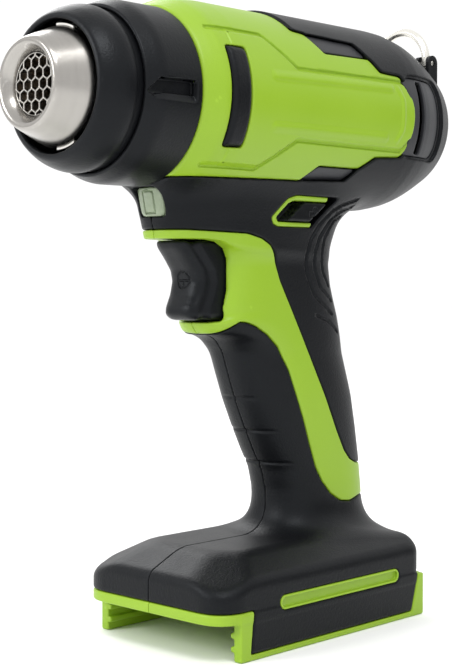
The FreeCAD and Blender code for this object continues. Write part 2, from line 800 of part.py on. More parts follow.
node(tube("shield", dim("shield_r"), dim("sheet_steel"),
          span("shield_front", "shield_rear")), "heat_shield")
node(tube("heater_case", dim("heater_tube_r"), dim("board_thick"),
          span("heater_tube_front", "heater_tube_rear")), "heater_tube")
node(tube("mica", dim("mica_r"), dim("mica_wall"),
          span("board_front", "board_rear")), "mica_sleeve")
board_half_z = (f"{dim('axis_z')} - {dim('board_half')}", f"{dim('axis_z')} + {dim('board_half')}")
thin_z = (f"{dim('axis_z')} - {dim('board_thick')} / 2",
          f"{dim('axis_z')} + {dim('board_thick')} / 2")
thin_y = (f"-{dim('board_thick')} / 2", f"{dim('board_thick')} / 2")
board_x = span("board_front", "board_rear")
node(fuse("mica_boards", [
    block("board_flat", board_x, both_ways("board_half"), thin_z),
    block("board_upright", board_x, thin_y, board_half_z)]), "mica_cross")


def helix_coil(name, radius, wire_r, pitch, height, x):
    """A wire wound round the X axis at the height given."""
    path = doc.addObject("Part::Helix", f"{name}_path")
    turn(path, (0, 1, 0), 90)
    bind(path, Radius=radius, Pitch=pitch, Height=height)
    move(path, x[0], "0", x[1])
    section = doc.addObject("Part::Circle", f"{name}_section")
    turn(section, (1, 0, 0), -90)
    bind(section, Radius=wire_r)
    move(section, x[0], "0", f"{x[1]} - {radius}")
    coil = doc.addObject("Part::Sweep", name)
    coil.Sections = [section]
    coil.Spine = (path, [])
    coil.Solid = True
    coil.Frenet = True
    return coil


node(helix_coil("coil", dim("coil_r"), dim("coil_wire_r"), dim("coil_pitch"),
                f"{dim('coil_pitch')} * {dim('coil_turns')}",
                (f"{dim('board_front')} + 3", dim("axis_z"))), "heating_coil")
fuse_x = (f"{dim('board_rear')} - 3 - {dim('fuse_long')}", f"{dim('board_rear')} - 3")
node(rod_x("fuse_body", dim("fuse_r"), fuse_x, "-6",
           f"{dim('axis_z')} + {dim('board_thick')} / 2 + {dim('fuse_r')}"), "thermal_fuse")

# ----------------------------------------------------------------- air mover
node(turned("duct", [
    (dim("duct_front"), f"{dim('duct_front_r')} - {dim('duct_wall')}"),
    (dim("duct_front"), dim("duct_front_r")),
    (dim("duct_rear"), dim("duct_rear_r")),
    (dim("duct_rear"), f"{dim('duct_rear_r')} - {dim('duct_wall')}"),
]), "air_duct")

fan_rear = f"{dim('fan_front')} + {dim('fan_depth')}"
shaft_bore = rod_x("shaft_bore", dim("shaft_r"), span("shaft_front", "shaft_rear"))


def fan_blades():
    """Radial blades between the hub and the fan's edge."""
    blades = []
    count = int(value(dim("fan_blades")))
    inner_r = f"({dim('fan_hub_r')} - 0.5)"
    half = f"({dim('blade_thick')} / 2)"
    for number in range(count):
        angle = 2 * math.pi * number / count
        sine, cosine = round(math.sin(angle), 6), round(math.cos(angle), 6)
        blade = doc.addObject("Part::Box", f"fan_blade_{number + 1}")
        turn(blade, (1, 0, 0), math.degrees(angle))
        bind(blade, Length=f"{dim('fan_depth')} - {dim('fan_plate')} / 2",
             Width=dim("blade_thick"), Height=f"{dim('fan_r')} - {inner_r}")
        move(blade, dim("fan_front"), f"0 - ({half} * {cosine} + {inner_r} * {sine})",
             f"{dim('axis_z')} + ({inner_r} * {cosine} - {half} * {sine})")
        blades.append(blade)
    return blades


node(cut("impeller", fuse("impeller_solid", [
    rod_x("fan_hub", dim("fan_hub_r"), (dim("fan_front"), fan_rear)),
    rod_x("fan_disc", dim("fan_r"), (f"{fan_rear} - {dim('fan_plate')}", fan_rear)),
] + fan_blades()), shaft_bore), "fan_impeller")
node(rod_x("shaft", dim("shaft_r"), span("shaft_front", "shaft_rear")), "motor_shaft")
bearing_bore = rod_x("bearing_bore", f"{dim('shaft_r')} + {dim('shaft_gap')}",
                     (f"{dim('motor_front')} - 9", f"{dim('motor_rear')} + 9"))
node(cut("motor_can_body", rod_x("motor_can_solid", dim("motor_r"),
                                 span("motor_front", "motor_rear")), bearing_bore),
     "motor_can")
node(cut("motor_cap_body", rod_x("motor_cap_solid", f"{dim('motor_r')} - 1",
                                 (dim("motor_rear"), f"{dim('motor_rear')} + {dim('motor_cap')}")),
         bearing_bore), "motor_end_cap")
mount_x = span("mount_front", "motor_front")
mount_bar = both_ways("spoke_half")
mount_spread = (f"{dim('axis_z')} - {dim('mount_r')} + 1", f"{dim('axis_z')} + {dim('mount_r')} - 1")
node(cut("mount_pierced", fuse("mount_solid", [
    tube("mount_ring_tube", dim("mount_r"), dim("mount_ring"), mount_x),
    rod_x("mount_hub", f"{dim('motor_r')} - 3", mount_x),
    block("mount_spoke_flat", mount_x,
          (f"-{dim('mount_r')} + 1", f"{dim('mount_r')} - 1"),
          (f"{dim('axis_z')} - {dim('spoke_half')}", f"{dim('axis_z')} + {dim('spoke_half')}")),
    block("mount_spoke_upright", mount_x, mount_bar, mount_spread)]),
    rod_x("mount_bore", f"{dim('shaft_r')} + 1",
          (f"{dim('mount_front')} - 1", f"{dim('motor_front')} + 1"))), "motor_mount")

# -------------------------------------------------------- trigger and switch
node(side_prism("trigger_body", TRIGGER_OUTLINE, both_ways("trigger_half")), "trigger")
node(rod_x("plunger", dim("plunger_r"), span("trigger_back", "plunger_rear"), "0",
           dim("trigger_axis_z")), "switch_plunger")
node(cut("switch_block",
         block("switch_solid", span("switch_front", "switch_rear"), both_ways("switch_half"),
               span("switch_low", "switch_high")),
         rod_x("plunger_hole", f"{dim('plunger_r')} + {dim('shaft_gap')}",
               (f"{dim('switch_front')} - 1", f"{dim('switch_front')} + {dim('plunger_room')}"),
               "0", dim("trigger_axis_z"))), "switch_body")
spring_long = f"({dim('switch_front')} - {dim('trigger_back')} - 2 * {dim('spring_wire_r')})"
node(helix_coil("return_spring", dim("spring_r"), dim("spring_wire_r"),
                f"{spring_long} / {dim('spring_turns')}", spring_long,
                (f"{dim('trigger_back')} + {dim('spring_wire_r')}", dim("trigger_axis_z"))),
     "trigger_spring")

# ------------------------------------------------------------ lock-off button
node(side_prism("lock_bolt", LOCK_OUTLINE, span("lock_near", "lock_far")), "lock_button")
for side_name, side in SIDES:
    bezel_y = side_span(side, f"{dim('bezel_out')} - {dim('bezel_deep')}", dim("bezel_out"))
    node(cut(f"bezel_{side_name}",
             side_prism(f"bezel_plate_{side_name}", BEZEL_OUTLINE, bezel_y), lock_hole),
         f"lock_bezel_{side_name}")

# ---------------------------------------------------------------- work light
node(block("lens", (dim("led_front"), f"{dim('led_front')} + 3"),
           (f"-{dim('led_half')} + 0.1", f"{dim('led_half')} - 0.1"),
           (f"{dim('led_low')} + 0.1", f"{dim('led_high')} - 0.1")), "led_lens")
led_board_x = (f"{dim('led_rear')} - {dim('led_board_thick')} + 0.4", f"{dim('led_rear')} + 0.4")
node(block("led_plate", led_board_x, both_ways("led_half"), span("led_low", "led_high")),
     "led_board")
node(rod_x("led_dome", dim("led_chip_r"), (f"{led_board_x[0]} - 1", led_board_x[0]), "0",
           f"({dim('led_low')} + {dim('led_high')}) / 2"), "led_chip")

# ---------------------------------------------------- side pieces on the barrel
vent_wall = cut("vent_wall", middle, inner)
vent_slots = fuse("vent_slots", [
    block(f"vent_slot_{number + 1}",
          (f"{dim('vent_slot_front')} + {number} * {dim('vent_slot_step')}",
           f"{dim('vent_slot_front')} + {number} * {dim('vent_slot_step')} + {dim('vent_slot')}"),
          across, (f"{dim('vent_low')} + 1.5", f"{dim('vent_high')} - 1.5"))
    for number in range(2)])
inlay_tube = tube("inlay_tube", dim("inlay_r"), dim("inlay_wall"),
                  span("inlay_front", "inlay_rear"))
bar_tube = tube("bar_tube", dim("bar_r"), dim("bar_wall"), bar_x)
for side_name, side in SIDES:
    side_y = side_span(side, dim("side_piece_near"), dim("width_limit"))
    vent_zone = block(f"vent_zone_{side_name}", span("vent_front", "vent_rear"),
                      side_span(side, dim("vent_deep"), dim("width_limit")),
                      span("vent_low", "vent_high"))
    node(cut(f"vents_{side_name}", common(f"vent_plate_{side_name}", [vent_wall, vent_zone]),
             vent_slots), f"vent_grille_{side_name}")
    inlay_zone = block(f"inlay_zone_{side_name}", span("inlay_front", "inlay_rear"), side_y,
                       (f"{dim('axis_z')} - {dim('cover_r')}", f"{dim('axis_z')} + {dim('cover_r')}"))
    node(common(f"inlays_{side_name}", [inlay_tube, inlay_prisms, inlay_zone]),
         f"side_inlays_{side_name}")
    bar_zone = block(f"bar_zone_{side_name}", bar_x, side_y, span("bar_low", "bar_high"))
    node(common(f"bar_{side_name}", [bar_tube, bar_zone]), f"side_bar_{side_name}")
    trim_y = side_span(side, f"{dim('rail_half')} - {dim('slot_deep')}", dim("rail_half"))
    pocket_y = side_span(side, f"{dim('rail_half')} - {dim('slot_deep')} / 2",
                         f"{dim('rail_half')} + 1")
    node(cut(f"trim_{side_name}", long_slot(f"trim_solid_{side_name}", dim("slot_half"), trim_y),
             long_slot(f"trim_pocket_{side_name}",
                       f"{dim('slot_half')} - {dim('slot_rim')}", pocket_y)),
         f"foot_trim_{side_name}")

# --------------------------------------------------------------- hanging ring
def ring_wire():
    """A round wire bent into a U: two legs and a half circle above them."""
    low = f"{dim('ring_pivot_z')} - {dim('ring_wire_r')}"
    bow_z = f"{dim('ring_pivot_z')} + {dim('ring_leg')}"
    low_value, bow_value, half = value(low), value(bow_z), value(dim("ring_half"))
    path = doc.addObject("Sketcher::SketchObject", "ring_path")
    path.Placement = FreeCAD.Placement(FreeCAD.Vector(), FreeCAD.Rotation(
        FreeCAD.Vector(0, 1, 0), FreeCAD.Vector(0, 0, 1), FreeCAD.Vector(1, 0, 0), "XYZ"))
    move(path, dim("ring_x"))
    vector = FreeCAD.Vector
    bow = Part.Circle(vector(0, bow_value, 0), vector(0, 0, 1), half)
    path.addGeometry(
        Part.LineSegment(vector(-half, low_value, 0), vector(-half, bow_value, 0)), False)
    path.addGeometry(Part.ArcOfCircle(bow, 0, math.pi), False)
    path.addGeometry(
        Part.LineSegment(vector(half, low_value, 0), vector(half, bow_value, 0)), False)
    for arguments in (("Tangent", 0, 2, 1, 2), ("Tangent", 2, 2, 1, 1), ("Vertical", 0),
                      ("Vertical", 2), ("PointOnObject", 1, 3, -2)):
        path.addConstraint(Sketcher.Constraint(*arguments))
    for arguments, expression in (
            (("Radius", 1, half), dim("ring_half")),
            (("DistanceY", -1, 1, 1, 3, bow_value), bow_z),
            (("DistanceY", -1, 1, 0, 1, low_value), low),
            (("DistanceY", -1, 1, 2, 1, low_value), low)):
        number = path.addConstraint(Sketcher.Constraint(*arguments))
        path.setExpression(f"Constraints[{number}]", expression)
    section = doc.addObject("Part::Circle", "ring_section")
    bind(section, Radius=dim("ring_wire_r"))
    move(section, dim("ring_x"), dim("ring_half"), low)
    wire = doc.addObject("Part::Sweep", "ring_wire")
    wire.Sections = [section]
    wire.Spine = (path, [])
    wire.Solid = True
    return wire


ring_parts = [ring_wire()]
lugs = []
for side_name, side in SIDES:
    near = f"{dim('ring_half')} - {dim('ring_pin_long')}"
    far = f"{dim('ring_half')} + {dim('ring_pin_long')}"
    ring_parts.append(rod_y(f"ring_pin_{side_name}", dim("ring_pin_r"), dim("ring_x"),
                            side_span(side, near, far), dim("ring_pivot_z")))
    clear = f"({dim('ring_wire_r')} + {dim('lug_gap')})"
    for place_name, start in (
            ("near", f"{dim('ring_half')} - {clear} - {dim('lug_plate')}"),
            ("far", f"{dim('ring_half')} + {clear}")):
        lug_y = side_span(side, start, f"{start} + {dim('lug_plate')}")
        lug_name = f"lug_{place_name}_{side_name}"
        lugs.append(rod_y(f"{lug_name}_eye", dim("lug_r"), dim("ring_x"), lug_y,
                          dim("ring_pivot_z")))
        lugs.append(block(f"{lug_name}_foot",
                          (f"{dim('ring_x')} - {dim('lug_r')}", f"{dim('ring_x')} + {dim('lug_r')}"),
                          lug_y, span("lug_base_z", "ring_pivot_z")))
node(fuse("ring", ring_parts), "hang_ring")
pin_bore = rod_y("pin_bore", f"{dim('ring_pin_r')} + {dim('ring_pin_gap')}", dim("ring_x"),
                 both_ways("rail_half"), dim("ring_pivot_z"))
node(cut("ring_lugs", cut("lug_solids", fuse("lug_blanks", lugs), outer), pin_bore),
     "ring_bracket")

# ------------------------------------------------------- foot and electronics
node(block("terminal_solid", span("terminal_front", "terminal_rear"),
           both_ways("terminal_half"), span("terminal_low", "terminal_high")),
     "terminal_block")
node(fuse("blades", [
    block(f"blade_{number + 3}", span("blade_front", "terminal_front"),
          (f"{number} * {dim('blade_step')} - {dim('contact_thick')} / 2",
           f"{number} * {dim('blade_step')} + {dim('contact_thick')} / 2"),
          span("blade_low", "blade_high"))
    for number in (-1.5, -0.5, 0.5, 1.5)]), "contact_blades")
pcb_z = (dim("pcb_z"), f"{dim('pcb_z')} + {dim('pcb_thick')}")
node(block("pcb", span("pcb_front", "pcb_rear"), both_ways("pcb_half"), pcb_z),
     "control_board")
# Components standing on the board: radius, centre across and along Y, height.
CAPACITORS = ((4.0, -16.0, -12.0, 9.4), (3.2, -16.0, 0.0, 8.4))
# Front, rear, left, right and height of the flat ones.
CHIPS = ((-4.0, 6.0, -14.0, -4.0, 4.4), (-4.0, 4.0, 4.0, 12.0, 1.6))
components = []
for number, (radius, x, y, height) in enumerate(CAPACITORS, start=1):
    components.append(rod_z(f"capacitor_{number}", radius, x, y,
                            (pcb_z[1], f"{pcb_z[1]} + {height}")))
for number, (front, rear, left, right, height) in enumerate(CHIPS, start=1):
    components.append(block(f"chip_{number}", (front, rear), (left, right),
                            (pcb_z[1], f"{pcb_z[1]} + {height}")))
node(fuse("board_components", components), "board_parts")
battery_wires = [
    rod_z(f"battery_wire_{side_name}", dim("wire_r"), dim("battery_wire_x"),
          f"{side} * {dim('wire_half')}", span("terminal_high", "switch_low"))
    for side_name, side in SIDES]
node(fuse("battery_wires", battery_wires), "power_wires")
motor_runs = []
for side_name, side in SIDES:
    wire_y = f"{side} * {dim('wire_half')}"
    low_z, high_z = dim("motor_wire_low"), dim("motor_wire_high")
    rise_x, end_x = dim("motor_wire_rise_x"), dim("motor_wire_end_x")
    motor_runs += [
        rod_x(f"motor_wire_out_{side_name}", dim("wire_r"), (dim("switch_rear"), rise_x),
              wire_y, low_z),
        rod_z(f"motor_wire_rise_{side_name}", dim("wire_r"), rise_x, wire_y, (low_z, high_z)),
        rod_x(f"motor_wire_back_{side_name}", dim("wire_r"), (rise_x, end_x), wire_y, high_z),
        rod_z(f"motor_wire_end_{side_name}", dim("wire_r"), end_x, wire_y,
              (high_z, f"{dim('axis_z')} - {dim('motor_r')} + 1")),
    ]
    elbows = ((rise_x, low_z), (rise_x, high_z), (end_x, high_z))
    for number, (x, z) in enumerate(elbows, start=1):
        elbow = doc.addObject("Part::Sphere", f"motor_wire_elbow_{side_name}_{number}")
        bind(elbow, Radius=dim("wire_r"))
        move(elbow, x, wire_y, z)
        motor_runs.append(elbow)
node(cut("motor_wire_runs", fuse("motor_wire_solid", motor_runs),
         rod_x("motor_outline", dim("motor_r"), span("motor_front", "motor_rear"))),
     "motor_wires")

node(fuse("screws", [screw_shanks] + [
    rod_y(f"screw_head_{number}", dim("screw_head_r"), x,
          (seat, f"{seat} + {dim('screw_head')}"), z)
    for number, (x, z, seat) in enumerate(SCREWS, start=1)]), "housing_screws")

# ---------------------------------------------------------------- the files
doc.recompute()
failed = [item.Name for item in doc.Objects
          if {"Invalid", "Error"} & set(item.State)]
if failed:
    raise RuntimeError(f"these objects failed: {failed}")
for item in nodes:
    if item.Shape.isNull() or not item.Shape.isValid():
        raise RuntimeError(f"{item.Label} has no valid shape")
os.makedirs("parts", exist_ok=True)
for item in nodes:
    item.Shape.exportStep(os.path.join("parts", f"{item.Label}.step"))
    solids = len(item.Shape.Solids)
    print(f"{item.Label}: {solids} solids, {item.Shape.Volume / 1000:.2f} cm3")
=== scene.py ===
import json
import math
from concurrent.futures import ThreadPoolExecutor

import bpy
import numpy as np
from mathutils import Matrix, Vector


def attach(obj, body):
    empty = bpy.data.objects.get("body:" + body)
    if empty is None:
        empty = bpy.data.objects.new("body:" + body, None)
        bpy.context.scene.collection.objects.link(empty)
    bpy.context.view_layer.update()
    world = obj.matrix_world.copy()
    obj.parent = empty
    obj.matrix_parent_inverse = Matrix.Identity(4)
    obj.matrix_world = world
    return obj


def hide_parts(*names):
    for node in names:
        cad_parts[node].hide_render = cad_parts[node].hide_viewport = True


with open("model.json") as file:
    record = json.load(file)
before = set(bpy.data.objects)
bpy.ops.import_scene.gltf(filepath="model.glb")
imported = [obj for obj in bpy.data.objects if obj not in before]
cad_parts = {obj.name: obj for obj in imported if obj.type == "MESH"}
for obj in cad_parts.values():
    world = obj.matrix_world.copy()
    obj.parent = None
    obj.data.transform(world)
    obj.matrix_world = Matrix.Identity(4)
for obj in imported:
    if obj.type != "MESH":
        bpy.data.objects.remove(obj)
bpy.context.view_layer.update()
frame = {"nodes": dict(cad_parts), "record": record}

# Cordless heat gun.  All shapes below are in millimetres and are scaled to
# metres when a mesh is made.  The nozzle blows towards -X and +Z is up.
MM = 0.001
AXIS = 204.0
CELL = 0.5


# ------------------------------------------------------------ blending tools
def smooth_max(a, b, k):
    """The larger value, with the edge between them rounded over k."""
    h = np.maximum(k - np.abs(a - b), 0.0)
    return np.maximum(a, b) + h * h / (4.0 * k)


def smooth_min(a, b, k):
    """The smaller value, with a fillet of about k where they meet."""
    return -smooth_max(-a, -b, k)


def ramp(value, start, end):
    """A smooth step from 0 at start to 1 at end."""
    t = np.clip((value - start) / (end - start), 0.0, 1.0)
    return t * t * (3.0 - 2.0 * t)


def box_field(x, y, z, low, high, k=0.8):
    """Distance to a box with rounded edges."""
    parts = []
    for at, a, b in zip((x, y, z), low, high):
        parts.append(np.abs(at - (a + b) / 2.0) - (b - a) / 2.0)
    return smooth_max(smooth_max(parts[0], parts[1], k), parts[2], k)


CURVE_STEP = 0.25


def curve(points, blur=4.0):
    """A smooth function that follows a few (station, value) points."""
    stations, values = zip(*points)
    grid = np.arange(stations[0] - 30.0, stations[-1] + 30.0, CURVE_STEP)
    window = np.hanning(int(2 * blur / CURVE_STEP) + 3)
    window /= window.sum()
    raw = np.interp(grid, stations, values)
    smooth = np.convolve(np.pad(raw, len(window) // 2, mode="edge"), window, "valid")
    return lambda at: np.interp(at, grid, smooth[:len(grid)])


# Functions of the side view (x, z), stored on a grid so that they are quick.
MAP_LOW = (-115.0, -10.0)
MAP_HIGH = (115.0, 256.0)
MAP_STEP = 0.5
map_x = np.arange(MAP_LOW[0], MAP_HIGH[0], MAP_STEP)
map_z = np.arange(MAP_LOW[1], MAP_HIGH[1], MAP_STEP)
MAP_X, MAP_Z = np.meshgrid(map_x, map_z, indexing="ij")


def blurred(grid, width):
    """A grid smoothed over a width in millimetres."""
    count = int(2 * width / MAP_STEP) | 1
    if count < 3:
        return grid
    window = np.hanning(count + 2)[1:-1]
    window /= window.sum()
    for axis in (0, 1):
        pad = [(0, 0), (0, 0)]
        pad[axis] = (count // 2, count // 2)
        wide = np.pad(grid, pad, mode="edge")
        grid = sum(weight * np.take(wide, np.arange(start, start + grid.shape[axis]), axis)
                   for start, weight in enumerate(window))
    return grid


def side_map(grid):
    """A lookup, between the grid's points, of a function of x and z."""
    rows, columns = grid.shape

    def look(x, z):
        """The function at some points."""
        u = np.clip((x - MAP_LOW[0]) / MAP_STEP, 0, rows - 1.001)
        v = np.clip((z - MAP_LOW[1]) / MAP_STEP, 0, columns - 1.001)
        i, j = u.astype(np.int32), v.astype(np.int32)
        u, v = u - i, v - j
        flat = grid.ravel()
        at = i * columns + j
        front = flat[at] * (1 - v) + flat[at + 1] * v
        rear = flat[at + columns] * (1 - v) + flat[at + columns + 1] * v
        return front * (1 - u) + rear * u
    return look


def line_distance(points, closed):
    """Distance on the map from every point to a run of straight lines."""
    ends = list(zip(points, points[1:] + points[:1]))
    if not closed:
        ends = ends[:-1]
    best = np.full(MAP_X.shape, 1e9)
    for (ax, az), (bx, bz) in ends:
        dx, dz = bx - ax, bz - az
        t = np.clip(((MAP_X - ax) * dx + (MAP_Z - az) * dz) / (dx * dx + dz * dz), 0, 1)
        best = np.minimum(best, (MAP_X - ax - t * dx) ** 2 + (MAP_Z - az - t * dz) ** 2)
    return np.sqrt(best)


def outline(points, rounding=1.0):
    """Signed distance on the map to a closed outline, negative inside it."""
    inside = np.zeros(MAP_X.shape, bool)
    for (ax, az), (bx, bz) in zip(points, points[1:] + points[:1]):
        if az == bz:
            continue
        crosses = (az > MAP_Z) != (bz > MAP_Z)
        inside ^= crosses & (MAP_X < (bx - ax) * (MAP_Z - az) / (bz - az) + ax)
    distance = line_distance(points, True)
    return blurred(np.where(inside, -distance, distance), rounding)


def groove(points, rounding=1.0):
    """Distance on the map to a line whose corners are rounded a little."""
    return side_map(blurred(line_distance(points, False), rounding))


# -------------------------------------------------------------- mesh making
pool = ThreadPoolExecutor(4)
CHUNK = 60000


def evaluate(field, points):
    """The field at many points, worked out in parallel chunks."""
    if len(points) == 0:
        return np.zeros(0)
    parts = np.array_split(points, max(1, len(points) // CHUNK))
    return np.concatenate(list(pool.map(lambda p: field(p[:, 0], p[:, 1], p[:, 2]), parts)))


# A cell is looked at more closely when the surface may pass through it: the
# fields can be off by SLACK, and a cell's corner is 0.87 of its size away.
SLACK = 1.35
CORNER = 0.87
EXTRA = 0.15
COARSE_CELLS = 16
REFINEMENTS = (1, 4, 2)
FAR = 1e3
ZERO = 1e-6
# A vertex finds the surface's slope over PROBE, and moves at most FARTHEST
# of a cell at a time.
PROBE = 0.04
LEAST_SLOPE = 0.05
FARTHEST = 0.7


STEPS = ((0, 0, 0), (0, 0, 1), (0, 1, 0), (0, 1, 1), (1, 0, 0), (1, 0, 1), (1, 1, 0), (1, 1, 1))


def split(grid, factor):
    """A grid whose every cell is cut into factor cells along each axis."""
    for axis in range(3):
        grid = np.repeat(grid, factor, axis)
    return grid


def cells_near(field, low, high, cell):
    """Marks the small cells that the surface may pass through; also their size."""
    size = cell * COARSE_CELLS
    keep = np.ones(np.ceil((high - low) / size).astype(int), bool)
    for factor in REFINEMENTS:
        keep = split(keep, factor)
        size /= factor
        at = np.argwhere(keep)
        middle = low + (at + 0.5) * size
        near = np.abs(evaluate(field, middle)) < SLACK * CORNER * size + EXTRA
        keep[tuple(at[~near].T)] = False
    return split(keep, 2), size / 2


def corner_values(field, low, keep, size):
    """The field at the corners of the marked cells, and FAR at all others."""
    nx, ny, nz = keep.shape
    corners = np.zeros((nx + 1, ny + 1, nz + 1), bool)
    for a, b, c in STEPS:
        corners[a:a + nx, b:b + ny, c:c + nz] |= keep
    at = np.argwhere(corners)
    found = evaluate(field, low + at * size)
    values = np.full(corners.shape, FAR, np.float32)
    values[tuple(at.T)] = np.where(np.abs(found) < ZERO, ZERO, found)
    return values


def crossed_cells(keep, inside):
    """The marked cells that have corners on both sides of the surface."""
    nx, ny, nz = keep.shape
    total = np.zeros(keep.shape, np.uint8)
    for a, b, c in STEPS:
        total += inside[a:a + nx, b:b + ny, c:c + nz]
    return np.argwhere(keep & (total > 0) & (total < len(STEPS)))


def mean_crossings(cells, values):
    """The mean of the points where the surface crosses each cell's edges."""
    position = np.zeros((len(cells), 3))
    crossings = np.zeros(len(cells))
    for axis in range(3):
        others = [k for k in range(3) if k != axis]
        for a in (0, 1):
            for b in (0, 1):
                start = np.zeros(3, int)
                start[others[0]], start[others[1]] = a, b
                stop = start.copy()
                stop[axis] = 1
                v0 = values[tuple((cells + start).T)].astype(float)
                v1 = values[tuple((cells + stop).T)].astype(float)
                mixed = (v0 < 0) != (v1 < 0)
                t = np.where(mixed, v0 / np.where(mixed, v0 - v1, 1.0), 0.0)
                point = cells + start + (stop - start) * t[:, None]
                position += np.where(mixed[:, None], point, 0.0)
                crossings += mixed
    return position / crossings[:, None]


def settle(field, position, size):
    """Slide the vertices along the field's slope onto the surface."""
    normal = np.zeros_like(position)
    for _ in range(2):
        here = evaluate(field, position)
        for axis in range(3):
            step = np.zeros(3)
            step[axis] = PROBE
            normal[:, axis] = (evaluate(field, position + step) - here) / PROBE
        length2 = np.maximum((normal ** 2).sum(1), LEAST_SLOPE)
        shift = -normal * (here / length2)[:, None]
        position = position + np.clip(shift, -FARTHEST * size, FARTHEST * size)
    return position, normal / np.maximum(np.linalg.norm(normal, axis=1), ZERO)[:, None]


def joined(cells, shape, inside):
    """A quad of four cells' vertices for each edge that crosses the surface."""
    index = np.full(shape, -1, np.int32)
    index[tuple(cells.T)] = np.arange(len(cells))
    quads = []
    for axis in range(3):
        b, c = (axis + 1) % 3, (axis + 2) % 3
        step, eb, ec = np.zeros(3, int), np.zeros(3, int), np.zeros(3, int)
        step[axis], eb[b], ec[c] = 1, 1, 1
        v0 = inside[tuple(cells.T)]
        v1 = inside[tuple((cells + step).T)]
        change = (v0 != v1) & (cells[:, b] > 0) & (cells[:, c] > 0)
        base = cells[change]
        falling = ~v0[change]
        quad = np.stack([index[tuple(base.T)], index[tuple((base - eb).T)],
                         index[tuple((base - eb - ec).T)], index[tuple((base - ec).T)]], 1)
        quad[falling] = quad[falling][:, ::-1]
        quads.append(quad[(quad >= 0).all(1)])
    return np.concatenate(quads)


def surface(field, low, high, cell):
    """Vertices, normals and quads of the surface where the field is zero."""
    low, high = np.array(low, float), np.array(high, float)
    keep, size = cells_near(field, low, high, cell)
    values = corner_values(field, low, keep, size)
    inside = values < 0
    cells = crossed_cells(keep, inside)
    position = low + mean_crossings(cells, values) * size
    position, normal = settle(field, position, size)
    return position, normal, joined(cells, keep.shape, inside)


CLUSTER = 3.0
KEY_START, KEY_COUNT = 1000, 4000


def coarser(position, normal, quads, flagged):
    """Merge the flagged vertices into clusters, to lighten hidden surfaces."""
    triangles = np.concatenate([quads[:, [0, 1, 2]], quads[:, [0, 2, 3]]])
    keys = np.floor(position[flagged] / CLUSTER).astype(np.int64) + KEY_START
    facing = np.argmax(np.abs(normal[flagged]), axis=1)
    keys = ((keys[:, 0] * KEY_COUNT + keys[:, 1]) * KEY_COUNT + keys[:, 2]) * 4 + facing
    _, cluster = np.unique(keys, return_inverse=True)
    count = cluster.max() + 1 if len(cluster) else 0
    kept = np.flatnonzero(~flagged)
    rename = np.zeros(len(position), int)
    rename[kept] = np.arange(len(kept))
    rename[flagged] = len(kept) + cluster
    merged = np.zeros((count, 3))
    turned = np.zeros((count, 3))
    np.add.at(merged, cluster, position[flagged])
    np.add.at(turned, cluster, normal[flagged])
    merged /= np.maximum(np.bincount(cluster, minlength=count), 1)[:, None]
    turned /= np.maximum(np.linalg.norm(turned, axis=1), 1e-6)[:, None]
    triangles = rename[triangles]
    good = ((triangles[:, 0] != triangles[:, 1]) & (triangles[:, 1] != triangles[:, 2])
            & (triangles[:, 2] != triangles[:, 0]))
    triangles = triangles[good]
    _, first = np.unique(np.sort(triangles, axis=1), axis=0, return_index=True)
    triangles = triangles[np.sort(first)]
    return (np.concatenate([position[kept], merged]),
            np.concatenate([normal[kept], turned]), triangles)


def new_object(name, position, faces, normal=None):
    """A smooth-shaded mesh object from arrays in millimetres."""
    mesh = bpy.data.meshes.new(name)
    sides = faces.shape[1]
    mesh.vertices.add(len(position))
    mesh.vertices.foreach_set("co", (position * MM).astype(np.float32).ravel())
    mesh.loops.add(len(faces) * sides)
    mesh.loops.foreach_set("vertex_index", faces.astype(np.int32).ravel())
    mesh.polygons.add(len(faces))
    mesh.polygons.foreach_set("loop_start", np.arange(0, len(faces) * sides, sides, dtype=np.int32))
    mesh.polygons.foreach_set("use_smooth", np.ones(len(faces), bool))
    mesh.update(calc_edges=True)
    if normal is not None:
        mesh.normals_split_custom_set_from_vertices(normal.tolist())
    made = bpy.data.objects.new(name, mesh)
    bpy.context.scene.collection.objects.link(made)
    return made


materials = {}


def finish_piece(made, material, body, replaced=()):
    """Give a piece its material and the body it rides on."""
    made.data.materials.clear()
    made.data.materials.append(materials[material])
    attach(made, body)
    for node in replaced:
        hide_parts(node)
    return made


def field_piece(name, field, low, high, material, body, replaced=(), cell=None, hidden=None):
    """Make a piece from a field; hidden tells which vertices can be coarse."""
    position, normal, faces = surface(field, low, high, cell or CELL)
    if hidden is not None:
        position, normal, faces = coarser(position, normal, faces, hidden(position))
    made = new_object(name, position, faces, normal)
    return finish_piece(made, material, body, replaced)


def lathe(name, profile, material, body, replaced=(), turns=160, smooth=3):
    """Turn a closed (x, radius) profile about the barrel axis."""
    points = np.array(profile, float)
    for _ in range(smooth):
        following = np.roll(points, -1, axis=0)
        points = np.stack([points * 0.75 + following * 0.25,
                           points * 0.25 + following * 0.75], 1).reshape(-1, 2)
    count = len(points)
    angles = np.arange(turns) * 2 * math.pi / turns
    position = np.zeros((turns, count, 3))
    position[:, :, 0] = points[None, :, 0]
    position[:, :, 1] = points[None, :, 1] * np.cos(angles)[:, None]
    position[:, :, 2] = AXIS + points[None, :, 1] * np.sin(angles)[:, None]
    i, j = np.meshgrid(np.arange(turns), np.arange(count), indexing="ij")
    i2, j2 = (i + 1) % turns, (j + 1) % count
    faces = np.stack([i * count + j, i2 * count + j, i2 * count + j2, i * count + j2],
                     -1).reshape(-1, 4)
    following = np.roll(points, -1, axis=0)
    area = (points[:, 0] * following[:, 1] - following[:, 0] * points[:, 1]).sum()
    if area < 0:
        faces = faces[:, ::-1]
    made = new_object(name, position.reshape(-1, 3), faces)
    return finish_piece(made, material, body, replaced)


# ------------------------------------------------------------------ materials
def node_at(nodes, kind, **values):
    """A shader node with its plain input values set by socket name."""
    made = nodes.new(kind)
    for name, value in values.items():
        made.inputs[name.replace("_", " ")].default_value = value
    return made


